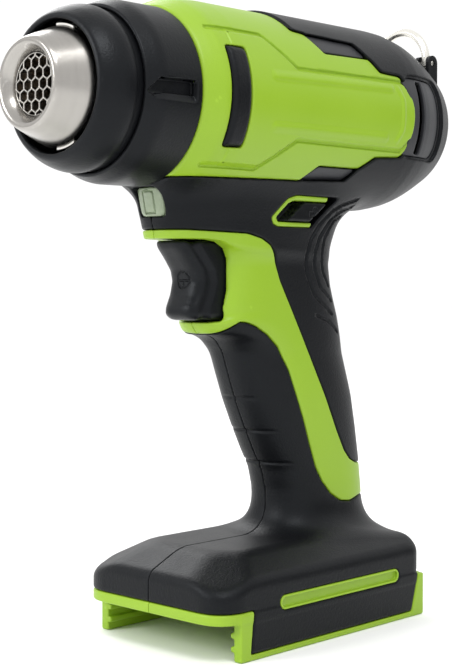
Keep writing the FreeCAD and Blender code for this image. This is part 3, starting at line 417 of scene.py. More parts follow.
BROAD_SHARE = 0.55


def surface_material(name, dark, light, roughness, spread=0.08, grain=1800.0, depth=0.08,
                     metallic=0.0, patches=60.0, edge_wear_and_highlight=0.25, coat=0.0, stretch=(1, 1, 1),
                     specular=0.5, tint=(1, 1, 1), edge_highlight_and_wear_lift=0.03):
    """A moulded or metal surface: mottled colour, uneven gloss, grain, and convex edges painted
    lighter as a painted highlight with some rubbed wear.
    """
    material = bpy.data.materials.new(name)
    material.use_nodes = True
    nodes, links = material.node_tree.nodes, material.node_tree.links
    shader = nodes["Principled BSDF"]
    shader.inputs["Metallic"].default_value = metallic
    shader.inputs["Coat Weight"].default_value = coat
    shader.inputs["Specular IOR Level"].default_value = specular
    shader.inputs["Specular Tint"].default_value = (*tint, 1)
    place = nodes.new("ShaderNodeTexCoord")
    mapping = nodes.new("ShaderNodeMapping")
    mapping.inputs["Scale"].default_value = stretch
    links.new(place.outputs["Object"], mapping.inputs["Vector"])

    def noise(scale, detail):
        """A noise pattern fixed to the piece."""
        made = node_at(nodes, "ShaderNodeTexNoise", Scale=scale, Detail=detail, Roughness=0.6)
        links.new(mapping.outputs["Vector"], made.inputs["Vector"])
        return made

    broad, fine = noise(patches, 4.0), noise(grain, 3.0)
    mottle = nodes.new("ShaderNodeMixRGB")
    mottle.inputs["Color1"].default_value = (*dark, 1)
    mottle.inputs["Color2"].default_value = (*light, 1)
    # the two patterns are added, the broad one counting a little more
    weight = nodes.new("ShaderNodeMath")
    weight.operation = "MULTIPLY"
    links.new(broad.outputs["Fac"], weight.inputs[0])
    weight.inputs[1].default_value = BROAD_SHARE
    blend = nodes.new("ShaderNodeMath")
    blend.operation = "MULTIPLY_ADD"
    links.new(fine.outputs["Fac"], blend.inputs[0])
    blend.inputs[1].default_value = 1.0 - BROAD_SHARE
    links.new(weight.outputs[0], blend.inputs[2])
    links.new(blend.outputs[0], mottle.inputs["Fac"])
    # convex edges are painted lighter: a painted highlight along every convex edge, with some
    # rubbed wear
    geometry = nodes.new("ShaderNodeNewGeometry")
    edge = nodes.new("ShaderNodeMapRange")
    edge.inputs["From Min"].default_value = 0.52
    edge.inputs["From Max"].default_value = 0.66
    edge.inputs["To Max"].default_value = edge_wear_and_highlight
    links.new(geometry.outputs["Pointiness"], edge.inputs["Value"])
    edge_highlight_and_wear_mix = nodes.new("ShaderNodeMixRGB")
    # the painted edge-highlight colour: the light colour made 1.5 times brighter plus a lift
    edge_highlight_and_wear_mix.inputs["Color2"].default_value = (*[min(1.0, c * 1.5 + edge_highlight_and_wear_lift) for c in light], 1)
    links.new(edge.outputs[0], edge_highlight_and_wear_mix.inputs["Fac"])
    links.new(mottle.outputs[0], edge_highlight_and_wear_mix.inputs["Color1"])
    links.new(edge_highlight_and_wear_mix.outputs[0], shader.inputs["Base Color"])
    gloss = nodes.new("ShaderNodeMapRange")
    gloss.inputs["To Min"].default_value = roughness - spread
    gloss.inputs["To Max"].default_value = roughness + spread
    links.new(blend.outputs[0], gloss.inputs["Value"])
    links.new(gloss.outputs[0], shader.inputs["Roughness"])
    bump = node_at(nodes, "ShaderNodeBump", Strength=1.0, Distance=depth * MM)
    links.new(fine.outputs["Fac"], bump.inputs["Height"])
    links.new(bump.outputs["Normal"], shader.inputs["Normal"])
    materials[name] = material
    return material


surface_material("green_plastic", (0.218, 0.372, 0.012), (0.266, 0.432, 0.020), 0.40,
                 grain=1500.0, depth=0.035, patches=35.0, edge_wear_and_highlight=0.3, specular=0.4)
BLUISH = (0.90, 0.95, 1.0)
surface_material("black_rubber", (0.0018, 0.0020, 0.0026), (0.0052, 0.0057, 0.0068), 0.41,
                 spread=0.10, grain=1200.0, depth=0.15, patches=50.0, edge_wear_and_highlight=0.3,
                 specular=0.17, tint=BLUISH, edge_highlight_and_wear_lift=0.010)
surface_material("black_plastic", (0.0018, 0.0020, 0.0026), (0.0055, 0.0060, 0.0072), 0.37,
                 spread=0.08, grain=1200.0, depth=0.10, patches=70.0, edge_wear_and_highlight=0.3,
                 specular=0.18, tint=BLUISH, edge_highlight_and_wear_lift=0.010)
surface_material("grey_plastic", (0.016, 0.017, 0.020), (0.030, 0.031, 0.035), 0.46,
                 grain=1500.0, depth=0.06, edge_wear_and_highlight=0.4, specular=0.35)
surface_material("nozzle_steel", (0.30, 0.288, 0.268), (0.46, 0.442, 0.415), 0.24, spread=0.07,
                 grain=900.0, depth=0.012, metallic=1.0, patches=30.0, stretch=(9, 1, 1))
surface_material("ring_steel", (0.72, 0.70, 0.64), (0.86, 0.84, 0.78), 0.22, spread=0.05,
                 grain=1200.0, depth=0.01, metallic=0.85, patches=200.0)
surface_material("plain_steel", (0.42, 0.42, 0.43), (0.58, 0.58, 0.59), 0.35,
                 grain=1200.0, depth=0.02, metallic=1.0)
surface_material("zinc_steel", (0.50, 0.50, 0.48), (0.66, 0.65, 0.62), 0.30,
                 grain=1400.0, depth=0.02, metallic=1.0)
surface_material("black_steel", (0.02, 0.02, 0.021), (0.045, 0.045, 0.047), 0.38,
                 grain=1400.0, depth=0.03, metallic=0.6)
surface_material("mica", (0.33, 0.24, 0.15), (0.52, 0.42, 0.30), 0.5,
                 grain=800.0, depth=0.03, patches=120.0)
surface_material("circuit_board", (0.015, 0.09, 0.04), (0.03, 0.14, 0.06), 0.4,
                 grain=2500.0, depth=0.02)
surface_material("board_part", (0.02, 0.02, 0.025), (0.05, 0.05, 0.06), 0.35,
                 grain=2500.0, depth=0.02)
surface_material("led_chip", (0.80, 0.78, 0.62), (0.95, 0.93, 0.78), 0.3,
                 grain=2500.0, depth=0.02)
surface_material("contact_copper", (0.55, 0.27, 0.14), (0.75, 0.42, 0.25), 0.3,
                 grain=1500.0, depth=0.02, metallic=1.0)
surface_material("wire_sheath", (0.03, 0.03, 0.032), (0.06, 0.06, 0.065), 0.45,
                 grain=2000.0, depth=0.03)
lens_material = surface_material("clear_lens", (0.28, 0.36, 0.22), (0.55, 0.64, 0.46), 0.14,
                                 grain=500.0, depth=0.05, patches=160.0)
lens_shader = lens_material.node_tree.nodes["Principled BSDF"]
lens_shader.inputs["Transmission Weight"].default_value = 0.45
lens_shader.inputs["IOR"].default_value = 1.45

# every CAD node takes its slot's finish; the pieces below replace some nodes
for part in frame["record"]["subparts"]:
    shown = frame["nodes"][part["node"]]
    shown.data.materials.clear()
    shown.data.materials.append(materials[part["material_slot"]])


# -------------------------------------------------------------- outer casing
BARREL_FRONT = -53.8
BARREL_REAR = 105.5
COVER_PROUD = 0.9
WALL = 2.8
SEAM = 0.07
GAP = 0.11

barrel_radius = curve([(-60, 31.9), (-53.8, 33.0), (-49.5, 34.9), (-46.0, 36.2),
                       (-43.5, 36.6), (-35.0, 37.2), (62.0, 37.2), (68.0, 36.9),
                       (72.0, 36.2), (76.0, 35.4), (80.0, 34.2), (84.0, 32.8), (88.0, 31.2),
                       (92.0, 29.5), (96.0, 27.7), (100.0, 26.0), (104.0, 24.2),
                       (120.0, 16.0)], 1.2)

neck_fore = curve([(145, -46.6), (153, -47.2), (158, -48.2), (163, -49.4), (168, -50.4),
                   (173, -51.8), (200, -53.0)], 2)
neck_aft = curve([(145, 37), (151, 38.6), (160, 45.4), (168, 59), (178, 71.5), (200, 74)], 4)
neck_half = curve([(145, 15.8), (151, 16.8), (160, 18.6), (168, 21.0), (178, 24.6), (200, 27)], 3)

handle_fore = curve([(30, 15.0), (54, 13.5), (62, 11.3), (70, 6.5), (80.8, 0.7), (90.4, -3.9),
                     (100.4, -7.8), (110, -11.4), (115, -15.5), (121, -23.0), (128, -24.5),
                     (143, -22.0), (150, -24.0), (165, -26)], 2)
handle_aft = curve([(30, 66), (51.2, 64.2), (64.3, 62.7), (77.4, 60.6), (90.4, 57.9),
                    (107.7, 52.0), (122.6, 46.4), (135.2, 41.8), (144.8, 40.2), (149.8, 40.4),
                    (157.3, 43.4), (170, 50)], 3)
handle_half = curve([(30, 17.0), (60, 16.8), (90, 17.4), (165, 17.4)], 5)
handle_power = curve([(30, 2.6), (108, 2.6), (122, 3.6), (150, 3.6), (165, 3.0)], 3)


def stem(x, y, z, fore, aft, half, power):
    """Distance to an upright stem with superellipse sections."""
    front, back, side = fore(z), aft(z), half(z)
    p = power(z)
    reach = (back - front) / 2.0
    u = np.maximum(np.abs(x - (front + back) / 2.0) / reach, 0.02)
    v = np.maximum(np.abs(y) / side, 0.02)
    up, vp = u ** (p - 1.0), v ** (p - 1.0)
    whole = (up * u + vp * v) ** (1.0 / p)
    slope = np.hypot(up / reach, vp / side) * whole ** (1.0 - p)
    return (whole - 1.0) / slope


def constant(value):
    """A curve that has the same value at every height."""
    return lambda at: 0.0 * at + value


def barrel_field(x, y, z):
    """The barrel with its flared front and its domed rear end."""
    radius = np.hypot(y, z - AXIS)
    lean = 1.0 - 0.09 * ramp(x, 66.0, 92.0)
    body = smooth_max((radius - barrel_radius(x)) * lean, x - BARREL_REAR, 9.0)
    return smooth_max(body, BARREL_FRONT - x, 1.2)


def foot_field(x, y, z):
    """The foot's chamfered block, from its floor up."""
    side = np.abs(y)
    plan = smooth_max(side - 37.95, -50.4 - x, 13.0)
    plan = smooth_max(plan, x - 67.9, 7.0)
    flank = 0.5 * (side - 38.0) + 0.866 * (z - 28.6)
    brow = -0.41 * (x + 49.0) + 0.912 * (z - 29.6)
    corner = -0.30 * (x + 49.0) + 0.30 * (side - 20.0) + 0.905 * (z - 30.0)
    crown = smooth_max(z - 36.6, 0.09 * (x - 20.0) + 0.996 * (z - 37.4), 1.5)
    top = smooth_max(smooth_max(smooth_max(flank, brow, 1.2), corner, 1.2), crown, 2.0)
    return smooth_max(smooth_max(plan, top, 3.2), 14.0 - z, 0.8)


def rail_field(x, y, z):
    """The two rails that the battery slides on."""
    side = np.abs(y)
    wall = box_field(x, side, z, (-40.3, 34.0, 0.05), (68.8, 37.95, 17.4))
    for level in (3.4, 8.4):
        lip = box_field(x, side, z, (-40.3, 32.4, level), (68.8, 36.0, level + 2.2), 0.7)
        wall = smooth_min(wall, lip, 0.5)
    return wall


LIP_TOP = 121.6


def lip_fore(z):
    """The front of the lip under the trigger, which slopes back downwards."""
    return -28.4 + 0.6 * (LIP_TOP - z)


def casing(x, y, z):
    """The whole outer form."""
    barrel = barrel_field(x, y, z)
    neck = smooth_max(stem(x, y, z, neck_fore, neck_aft, neck_half, constant(2.6)),
                      151.0 - z, 1.6)
    neck = np.maximum(neck, z - 196.0)
    handle = stem(x, y, z, handle_fore, handle_aft, handle_half, handle_power)
    handle = np.maximum(np.maximum(handle, z - 172.0), 30.0 - z)
    lip = stem(x, y, z, lip_fore, constant(6.0), constant(14.2), constant(2.5))
    lip = smooth_max(smooth_max(lip, z - LIP_TOP, 1.5), 116.4 - z, 3.0)
    upper = smooth_min(barrel, neck, 5.0)
    upper = smooth_min(upper, handle, 9.0)
    upper = smooth_min(upper, lip, 4.0)
    lower = smooth_min(foot_field(x, y, z), handle, 15.0)
    lower = smooth_min(lower, rail_field(x, y, z), 1.0)
    return np.where(z > 80.0, upper, lower)


# Side-view outlines of the green hard plastic.
green_side = side_map(np.minimum(np.minimum(
    outline([(-70, 250), (-0.5, 250), (0.1, 231.7), (6.8, 231.0), (12.7, 223.8), (39.4, 224.5),
             (43.6, 219.4), (55.4, 218.9), (59.8, 214.0), (62.4, 206.5), (62.4, 198.0),
             (59.8, 189.0), (57.5, 186.6), (42.6, 185.7), (35.7, 181.1), (12.7, 181.0),
             (5.9, 175.4), (-70, 174.3)], 1.0),
    outline([(-70, 156.2), (-41, 155.9), (-16.0, 154.9), (-9.0, 153.2), (-4.2, 150.8),
             (-0.4, 146.6), (3.4, 137.3), (15.2, 117.7), (30.5, 91.3), (38.6, 76.0),
             (43.4, 68.1), (47.4, 64.2), (53.0, 62.0), (60.0, 61.4), (80, 61.4), (80, 48.6),
             (54.0, 48.2), (46.8, 46.9), (40.8, 47.7), (34.6, 51.4), (30.0, 56.4),
             (26.2, 62.6), (22.4, 71.6), (18.3, 82.1), (9.3, 102.3), (3.0, 111.6),
             (-2.6, 116.2), (-9.5, 119.9), (-13.4, 121.2), (-16.6, 121.6), (-20.0, 119.2),
             (-24.0, 116.6), (-28.0, 115.2), (-70, 115.0)], 1.1)),
    outline([(-70, 18.2), (-33.2, 18.2), (-34.8, 2.4), (60.9, 2.4), (65.4, 17.6),
             (80, 17.6), (80, -8), (-70, -8)], 0.8)))

contour_high = groove([(-47.6, 226.8), (-21.7, 226.7), (-7.4, 215.3), (57.0, 216.4),
                       (60.4, 211.2)])
contour_low = groove([(-47.6, 178.5), (-21.6, 178.5), (-5.8, 189.4), (56.5, 189.2),
                      (60.7, 193.6)])
raised_panel = side_map(outline([
    (-40, 226.9), (-21.7, 226.7), (-7.4, 215.3), (57.0, 216.4), (61.5, 210.2), (62.6, 202.8),
    (61.5, 194.6), (56.5, 189.2), (-5.8, 189.4), (-21.6, 178.5), (-40, 178.5)], 1.0))
fold_high = groove([(-21.1, 211.6), (47.3, 213.4)])
fold_low = groove([(-20.1, 193.0), (44.7, 193.5)])
rear_facet = groove([(52.0, 213.6), (54.6, 209.5), (54.6, 197.0), (52.0, 192.6)])

# The creases in the web behind the neck, and those across the front of the grip.
web_lines = [
    [(48.0, 170.0), (37.6, 167.6), (32.0, 165.2), (24.0, 158.9), (19.2, 153.2), (17.7, 147.8),
     (18.8, 140.0), (23.3, 131.7), (36.0, 123.6)],
    [(49.0, 167.4), (39.8, 165.4), (32.0, 161.3), (25.4, 154.5), (22.9, 148.6), (23.9, 141.3),
     (27.5, 134.7), (36.4, 129.0)],
    [(41.0, 163.0), (35.8, 161.6), (29.2, 154.4), (28.0, 148.0), (29.6, 140.6), (34.4, 135.0)],
    [(25.0, 123.4), (33.2, 120.9), (40.5, 116.4)]]
web_grooves = [groove(points, 0.8) for points in web_lines]
GRIP_LINES = ((91.6, -3.0), (78.6, 6.0), (65.8, 15.0))

SLOT_Z, SLOT_HALF, SLOT_FRONT, SLOT_REAR = 18.6, 2.8, -19.2, 52.1
VENT_LOW, VENT_HIGH, VENT_FRONT, VENT_REAR = 187.6, 219.2, 57.0, 85.5
VENT_MIDDLE, VENT_HALF = (VENT_LOW + VENT_HIGH) / 2, (VENT_HIGH - VENT_LOW) / 2
# each screw's place in the side view, and how far out its head sits
SCREWS = ((-34, 172.6, 14), (86, 184, 20), (84, 224, 20), (38.5, 150, 12), (2, 112, 12),
          (38, 64, 11.5), (-40, 24, 30), (58, 24, 30))
LOCK_HOLE = [(-2.3, 161.3), (-1.2, 159.7), (16.6, 159.8), (28.0, 167.8), (6.4, 167.8),
             (3.4, 166.6)]
BEZEL = [(-5.0, 161.2), (-3.6, 158.6), (-0.6, 157.7), (18.9, 157.8), (33.0, 169.9), (7.2, 170.0),
         (2.9, 168.7)]
INLAY_HIGH = [(6.8, 231.0), (12.7, 223.8), (39.2, 224.4), (34.6, 230.2)]
INLAY_LOW = [(5.9, 175.4), (12.7, 181.0), (35.7, 181.1), (30.8, 176.2)]
lock_hole_side = side_map(outline(LOCK_HOLE, 0.8))
bezel_side = side_map(outline(BEZEL, 1.4))
inlay_side = side_map(np.minimum(outline(INLAY_HIGH, 1.0), outline(INLAY_LOW, 1.0)))
bar_side = side_map(outline([(-43.4, 184.8), (-43.4, 220.6), (-33.8, 220.6), (-33.8, 184.8)],
                            1.5))
trigger_opening = side_map(outline([
    (-90, 122.4), (-31.0, 122.6), (-25.4, 124.4), (-21.8, 127.6), (-20.2, 133.7),
    (-20.2, 145.3), (-22.2, 149.4), (-27.0, 151.8), (-33.0, 152.6), (-90, 152.7)], 0.9))


def slot_distance(x, z):
    """Distance to the centre line of the foot's round-ended trim."""
    low, high = SLOT_FRONT + SLOT_HALF, SLOT_REAR - SLOT_HALF
    return np.hypot(x - np.clip(x, low, high), z - SLOT_Z)


def windows(x, y, z):
    """Everything that passes through the shells, negative inside the holes."""
    side = np.abs(y)
    holes = box_field(x, y, z, (-90, -10.7, 121.7), (-12.0, 10.7, 152.5), 1.2)
    holes = np.minimum(holes, trigger_opening(x, z))
    holes = np.minimum(holes, box_field(x, y, z, (-90, -6.7, 160.6), (-43.0, 6.7, 171.4), 2.2))
    holes = np.minimum(holes, lock_hole_side(x, z))
    holes = np.minimum(holes, np.maximum(bezel_side(x, z), 17.1 - side))
    radius = np.hypot(y, z - AXIS)
    holes = np.minimum(holes, np.maximum(inlay_side(x, z), 34.6 - radius))
    holes = np.minimum(holes, np.maximum(bar_side(x, z), 35.0 - radius))
    trim = np.maximum(slot_distance(x, z) - SLOT_HALF, 36.1 - side)
    holes = np.minimum(holes, trim)
    return np.minimum(holes, box_field(x, y, z, (-2, -15, -5), (50, 15, 18)))


def vent_window(x, y, z, margin):
    """Distance to the air inlet's window, widened by a margin behind and above."""
    return box_field(x, np.abs(y), z, (VENT_FRONT, 18, VENT_LOW - 0.3 * margin),
                     (VENT_REAR + margin, 60, VENT_HIGH + 0.3 * margin), 7.0)


def decorated(x, y, z, form):
    """The green skin: the casing with its contour lines and soft folds."""
    side = ramp(np.abs(y), 8.0, 14.0) * (z > 170)
    line = np.minimum(contour_high(x, z), contour_low(x, z))
    cutting = 1.15 * ramp(line, 1.2, 0.2)
    proud = 0.40 * ramp(raised_panel(x, z), 0.3, -0.5)
    fold = (0.75 * ramp(fold_high(x, z), 2.6, 0.0) + 0.65 * ramp(fold_low(x, z), 2.6, 0.0)
            + 0.55 * ramp(rear_facet(x, z), 1.8, 0.0))
    return form + side * (cutting - proud - fold)


def wall_inside(x, z, form):
    """Distance to the inner face of the shells, thicker round the lock's collar."""
    return form + WALL + 2.0 * (bezel_side(x, z) < 2.5)


BOSS_R, HEAD_HOLE_R, FLOOR_UNDER_HEAD = 5.0, 3.3, 3.0


def screw_parts(x, y, z, side):
    """Bosses round the screws, and the holes that their heads sit in."""
    boss = np.full(x.shape, FAR)
    hole = boss.copy()
    if side < 0:
        return boss, hole
    for sx, sz, seat in SCREWS:
        reach = np.hypot(x - sx, z - sz)
        boss = np.minimum(boss, np.maximum(reach - BOSS_R, (seat - FLOOR_UNDER_HEAD) - y))
        hole = np.minimum(hole, np.maximum(reach - HEAD_HOLE_R, seat - y))
    return boss, hole


def black_skin(x, y, z, form):
    """The dark skin, proud of the green over the rear of the barrel."""
    proud = COVER_PROUD * np.maximum(ramp(x, -1.5, 0.5) * (z > 212),
                                     ramp(x, 4.0, 30.0) * ramp(z, 160.0, 172.0))
    sunk = 1.3 * ramp(vent_window(x, y, z, 3.6), 0.3, -0.5)
    web = np.full(x.shape, FAR)
    for distance in web_grooves:
        web = np.minimum(web, distance(x, z))
    lines = ramp(web, 1.05, 0.15) * ramp(np.abs(y), 2.0, 5.0)
    for level, end in GRIP_LINES:
        away = np.abs(z - level + 0.05 * (x + 5.0))
        lines = np.maximum(lines, 0.6 * ramp(away, 0.9, 0.1) * ramp(x, end + 3.0, end - 3.0))
    return form - proud + sunk + lines


def shell_field(side, skin_of, sign, vented):
    """One shell: sign is 1 for the green region, and -1 for all the rest."""
    def field(x, y, z):
        form = casing(x, y, z)
        skin = skin_of(x, y, z, form)
        underneath = np.maximum(np.abs(y) - 36.3, z - 18.2)
        edge = GAP + sign * np.minimum(green_side(x, z), underneath)
        boss, hole = screw_parts(x, y, z, side)
        shell = np.maximum(smooth_max(skin, edge, 0.9), -wall_inside(x, z, form))
        shell = np.minimum(shell, np.maximum(np.maximum(boss, skin), edge))
        shell = smooth_max(shell, SEAM - side * y, 0.35)
        holes = np.minimum(windows(x, y, z), hole)
        if vented:
            holes = np.minimum(holes, vent_window(x, y, z, 0.0))
        return smooth_max(shell, -holes, 0.8)
    return field


def inner_wall(position):
    """True for the vertices on the inside of the casing."""
    depth = evaluate(casing, position)
    return depth < -(WALL - 0.35)


for side, side_name in ((-1, "left"), (1, "right")):
    near, far = (-40.0, 1.0) if side < 0 else (-1.0, 40.0)
    field_piece(f"green_shell_{side_name}", shell_field(side, decorated, 1, False),
                (-58, near, -2), (74, far, 244), "green_plastic", "housing",
                [f"housing_{side_name}"], cell=max(CELL, 0.55), hidden=inner_wall)
    field_piece(f"black_shell_{side_name}", shell_field(side, black_skin, -1, True),
                (-56, near, -2), (109, far, 244), "black_rubber", "housing",
                [f"overmould_{side_name}"], cell=max(CELL, 0.66), hidden=inner_wall)


# ------------------------------------------------------------ front-end parts
lathe("nozzle_body", [
    (-106.2, 13.6), (-106.45, 14.4), (-106.35, 15.3), (-105.6, 16.0), (-104.4, 16.5),
    (-98.0, 19.0), (-93.6, 20.8), (-92.3, 21.0), (-80.0, 21.0), (-66.0, 21.0), (-66.0, 20.1),
    (-80.0, 20.1), (-92.3, 20.1), (-97.6, 18.2), (-103.2, 15.9), (-104.2, 15.2),
    (-104.4, 14.2), (-102.6, 12.0), (-101.6, 11.7), (-98.5, 11.7), (-98.5, 10.8),
    (-102.2, 10.8), (-104.0, 11.6), (-105.5, 12.9)],
    "nozzle_steel", "housing", ["nozzle"], turns=200)
lathe("nozzle_guard_ring", [
    (-94.9, 23.2), (-95.0, 24.2), (-94.4, 25.4), (-92.6, 26.6), (-90.6, 27.7), (-88.4, 28.5),
    (-86.0, 29.1), (-84.0, 29.3), (-82.4, 29.1), (-80.9, 28.6), (-78.5, 28.5), (-70.6, 28.5),
    (-70.6, 26.6),
    (-84.0, 26.6), (-89.0, 25.6), (-92.0, 23.2), (-93.5, 22.9)],
    "black_plastic", "housing", ["nozzle_guard"], turns=200)

arrow_recess = side_map(outline([(-78.6, 201.6), (-73.6, 206.4), (-56.4, 206.8),
                                 (-56.4, 198.4), (-75.0, 198.6)], 0.5))


def sleeve_field(x, y, z):
    """The sleeve behind the guard, with an arrow-shaped hollow on each side."""
    radius = np.hypot(y, z - AXIS)
    cone = 0.9 * (radius - 30.2 - 0.38 * (x + 78.6))
    body = smooth_max(smooth_max(radius - 32.6, cone, 0.8), -78.8 - x, 0.6)
    body = smooth_max(body, x + 53.95, 0.8)
    body = smooth_max(body, 28.75 - radius, 0.6)
    spigot = np.maximum(np.maximum(np.abs(radius - 28.3) - 1.0, x + 40.0), -56.9 - x)
    body = smooth_min(body, spigot, 0.6)
    dent = 1.9 * ramp(arrow_recess(x, z), 0.1, -0.9) * ramp(z, 198.0, 202.2)
    return body + dent * (np.abs(y) > 20) * ramp(radius, 29.0, 30.2)


field_piece("sleeve_body", sleeve_field, (-81.5, -35, 169), (-38, 35, 239),
            "black_plastic", "housing", ["front_sleeve"], cell=max(CELL, 0.6))

HEX_PITCH, HEX_HALF, HEX_FIELD_R = 4.2, 1.72, 11.2
HEX_RISE = HEX_PITCH * math.sqrt(3) / 2
hole_centres = []
for row in range(-3, 4):
    for column in range(-3, 4):
        at_y, at_z = (column + 0.5 * (row % 2)) * HEX_PITCH, row * HEX_RISE
        if math.hypot(at_y, at_z) < HEX_FIELD_R:
            hole_centres.append((at_y, at_z))


def honeycomb_field(x, y, z):
    """A disc pierced by hexagonal cells with rounded lips."""
    radius = np.hypot(y, z - AXIS)
    disc = np.maximum(np.abs(x + 100.7) - 1.7, radius - 10.75)
    cells = np.full(x.shape, FAR)
    for at_y, at_z in hole_centres:
        u, v = np.abs(y - at_y), np.abs(z - AXIS - at_z)
        cells = np.minimum(cells, np.maximum(u, 0.5 * u + 0.866 * v) - HEX_HALF)
    cells = np.maximum(cells, radius - 10.35)
    return smooth_max(disc, -cells, 0.35)


field_piece("nozzle_honeycomb", honeycomb_field, (-103.5, -11.5, 192.5), (-98, 11.5, 215.5),
            "nozzle_steel", "housing", ["honeycomb_grille"], cell=0.25)

# -------------------------------------------------------- trigger and switches
trigger_fore = curve([(115, -33.8), (122.2, -34.4), (124.5, -36.0), (127, -35.8), (132, -33.4),
                      (137, -32.2), (141, -33.2), (146, -37.2), (149.5, -40.4),
                      (155, -42.0)], 1.3)


TRIGGER_FOOT, TRIGGER_TOP = 122.2, 152.1
MARK_Z, MARK_R = 137.2, 3.1


def trigger_field(x, y, z):
    """The trigger: hollowed for the finger, with a fluted side and a mark."""
    body = stem(x, y, z, trigger_fore, constant(-6.0), constant(10.2), constant(3.4))
    body = smooth_max(body, x + 12.0, 0.8)
    body = smooth_max(body, z - TRIGGER_TOP, 1.6)
    body = smooth_max(body, TRIGGER_FOOT - z, 3.0)
    flute = 0.7 * ramp(np.abs(x - trigger_fore(z) - 5.5), 3.2, 0.0)
    reach = np.hypot(y + 0.5, z - MARK_Z - 0.2)
    mark = np.abs(reach - MARK_R) - 0.3
    mark = np.minimum(mark, np.maximum(np.abs(z - MARK_Z) - 0.28, reach - 3.0))
    upright = np.maximum(np.abs(y + 0.5) - 0.28, reach - 3.0)
    mark = np.minimum(mark, np.maximum(upright, z - MARK_Z))
    cutting = 0.4 * ramp(mark, 0.25, -0.15) * (x < -27)
    return body + ramp(np.abs(y), 4.0, 7.0) * flute + cutting


field_piece("trigger_lever", trigger_field, (-45, -11.5, 120), (-10, 11.5, 153.5),
            "black_plastic", "trigger", ["trigger"], cell=0.4)

lock_side = side_map(outline([(-1.9, 161.3), (-0.9, 160.0), (16.6, 160.0), (27.6, 167.6),
                              (6.5, 167.6), (3.6, 166.5)], 0.6))


def lock_field(x, y, z):
    """The lock-off bolt: its rear part stands proud, its front is sunk."""
    lean = x - (z - 163.7) * 1.35
    near = -21.2 + 3.6 * ramp(lean, 9.0, 5.0)
    body = smooth_max(lock_side(x, z), near - y, 1.2)
    body = smooth_max(body, y - 18.5, 1.2)
    shackle = np.hypot(x - 19.6, z - 164.3)
    mark = np.maximum(np.abs(shackle - 1.2) - 0.28, 164.1 - z)
    mark = np.minimum(mark, np.maximum(np.abs(x - 17.6) - 1.5, np.abs(z - 162.9) - 1.0))
    return body + 0.3 * ramp(mark, 0.2, -0.1) * (y < -15)


field_piece("lock_bolt", lock_field, (-1, -23, 158), (31, 20, 169), "black_plastic",
            "lock_button", ["lock_button"], cell=0.4)
bezel_open = side_map(outline([(-2.3, 161.3), (-1.2, 159.7), (40, 159.8), (40, 167.8),
                               (6.4, 167.8), (3.4, 166.6)], 0.9))
bezel_rear = side_map(outline([(-10, 150), (16.2, 150), (18.6, 159.0), (26.4, 167.6),
                               (26.8, 175), (-10, 175)], 0.8))


def bezel_field(side):
    """The green collar round the lock button, open at its rear."""
    def field(x, y, z):
        body = np.maximum(bezel_side(x, z) + 0.1, -(bezel_open(x, z) - 0.1))
        body = smooth_max(body, bezel_rear(x, z), 0.6)
        body = smooth_max(body, casing(x, y, z) - 0.1, 0.9)
        return smooth_max(body, 17.2 - side * y, 0.3)
    return field


for side, side_name in ((-1, "left"), (1, "right")):
    near, far = (-24, -16) if side < 0 else (16, 24)
    field_piece(f"lock_collar_{side_name}", bezel_field(side), (-6, near, 156), (37, far, 171.5),
                "green_plastic", "housing", [f"lock_bezel_{side_name}"], cell=0.4)


# ------------------------------------------------------------------ work light
def lens_field(x, y, z):
    """The lens: a rounded window that narrows downwards, with a sunk middle."""
    half = 6.5 + 0.09 * (z - 166.0)
    front = neck_fore(z) - 0.1
    body = smooth_max(np.abs(y) - half, np.abs(z - 166.0) - 5.3, 2.6)
    bulge = x - front - 0.035 * y * y
    body = smooth_max(body, -bulge, 1.0)
    body = smooth_max(body, bulge - 3.0, 0.3)
    middle = smooth_max(np.abs(y) - 2.6, np.abs(z - 166.0) - 4.0, 0.8)
    return body + 0.8 * ramp(np.abs(middle), 0.5, 0.1) * (bulge < 1.4)


field_piece("work_light_lens", lens_field, (-54, -8, 159), (-43, 8, 173), "clear_lens",
            "housing", ["led_lens"], cell=0.3)


# -------------------------------------------------- side pieces on the barrel
def inlay_field(side):
    """The two dark inlays beside the green panel."""
    def field(x, y, z):
        radius = np.hypot(y, z - AXIS)
        body = smooth_max(inlay_side(x, z) + 0.12, radius - 36.7, 0.7)
        body = smooth_max(body, 34.7 - radius, 0.3)
        return np.maximum(body, 8.0 - side * y)
    return field


def bar_field(side):
    """The raised grip bar at the front of the barrel."""
    def field(x, y, z):
        radius = np.hypot(y, z - AXIS)
        body = smooth_max(bar_side(x, z) + 0.15, radius - 37.95, 2.4)
        body = smooth_max(body, 35.2 - radius, 0.3)
        return np.maximum(body, 8.0 - side * y)
    return field


VENT_SUNK, VENT_PLATE, VENT_SLOT_X, VENT_SLOT_HALF = 0.9, 2.2, 69.7, 2.3


def vent_field(side):
    """The slotted plate that closes the air inlet's window."""
    def field(x, y, z):
        skin = barrel_field(x, y, z) + VENT_SUNK
        height = np.abs(z - VENT_MIDDLE)
        body = smooth_max(skin, -(skin + VENT_PLATE), 0.6)
        body = smooth_max(body, height - VENT_HALF + 0.1, 0.6)
        body = smooth_max(body, np.abs(x - 71.5) - 15.5, 0.6)
        slot = smooth_max(np.abs(x - VENT_SLOT_X) - VENT_SLOT_HALF, height - VENT_HALF + 1.2, 1.5)
        body = smooth_max(body, -slot, 0.8)
        body = smooth_max(body, GAP - green_side(x, z), 0.3)
        return np.maximum(body, 8.0 - side * y)
    return field


def trim_field(side):
    """The green round-ended trim let into the foot's side."""
    def field(x, y, z):
        out = side * y
        away = slot_distance(x, z)
        body = smooth_max(away - SLOT_HALF + 0.08, out - 38.1, 0.6)
        hollow = smooth_max(away - SLOT_HALF + 1.0, 36.7 - out, 0.3)
        return smooth_max(smooth_max(body, -hollow, 0.4), 36.2 - out, 0.3)
    return field


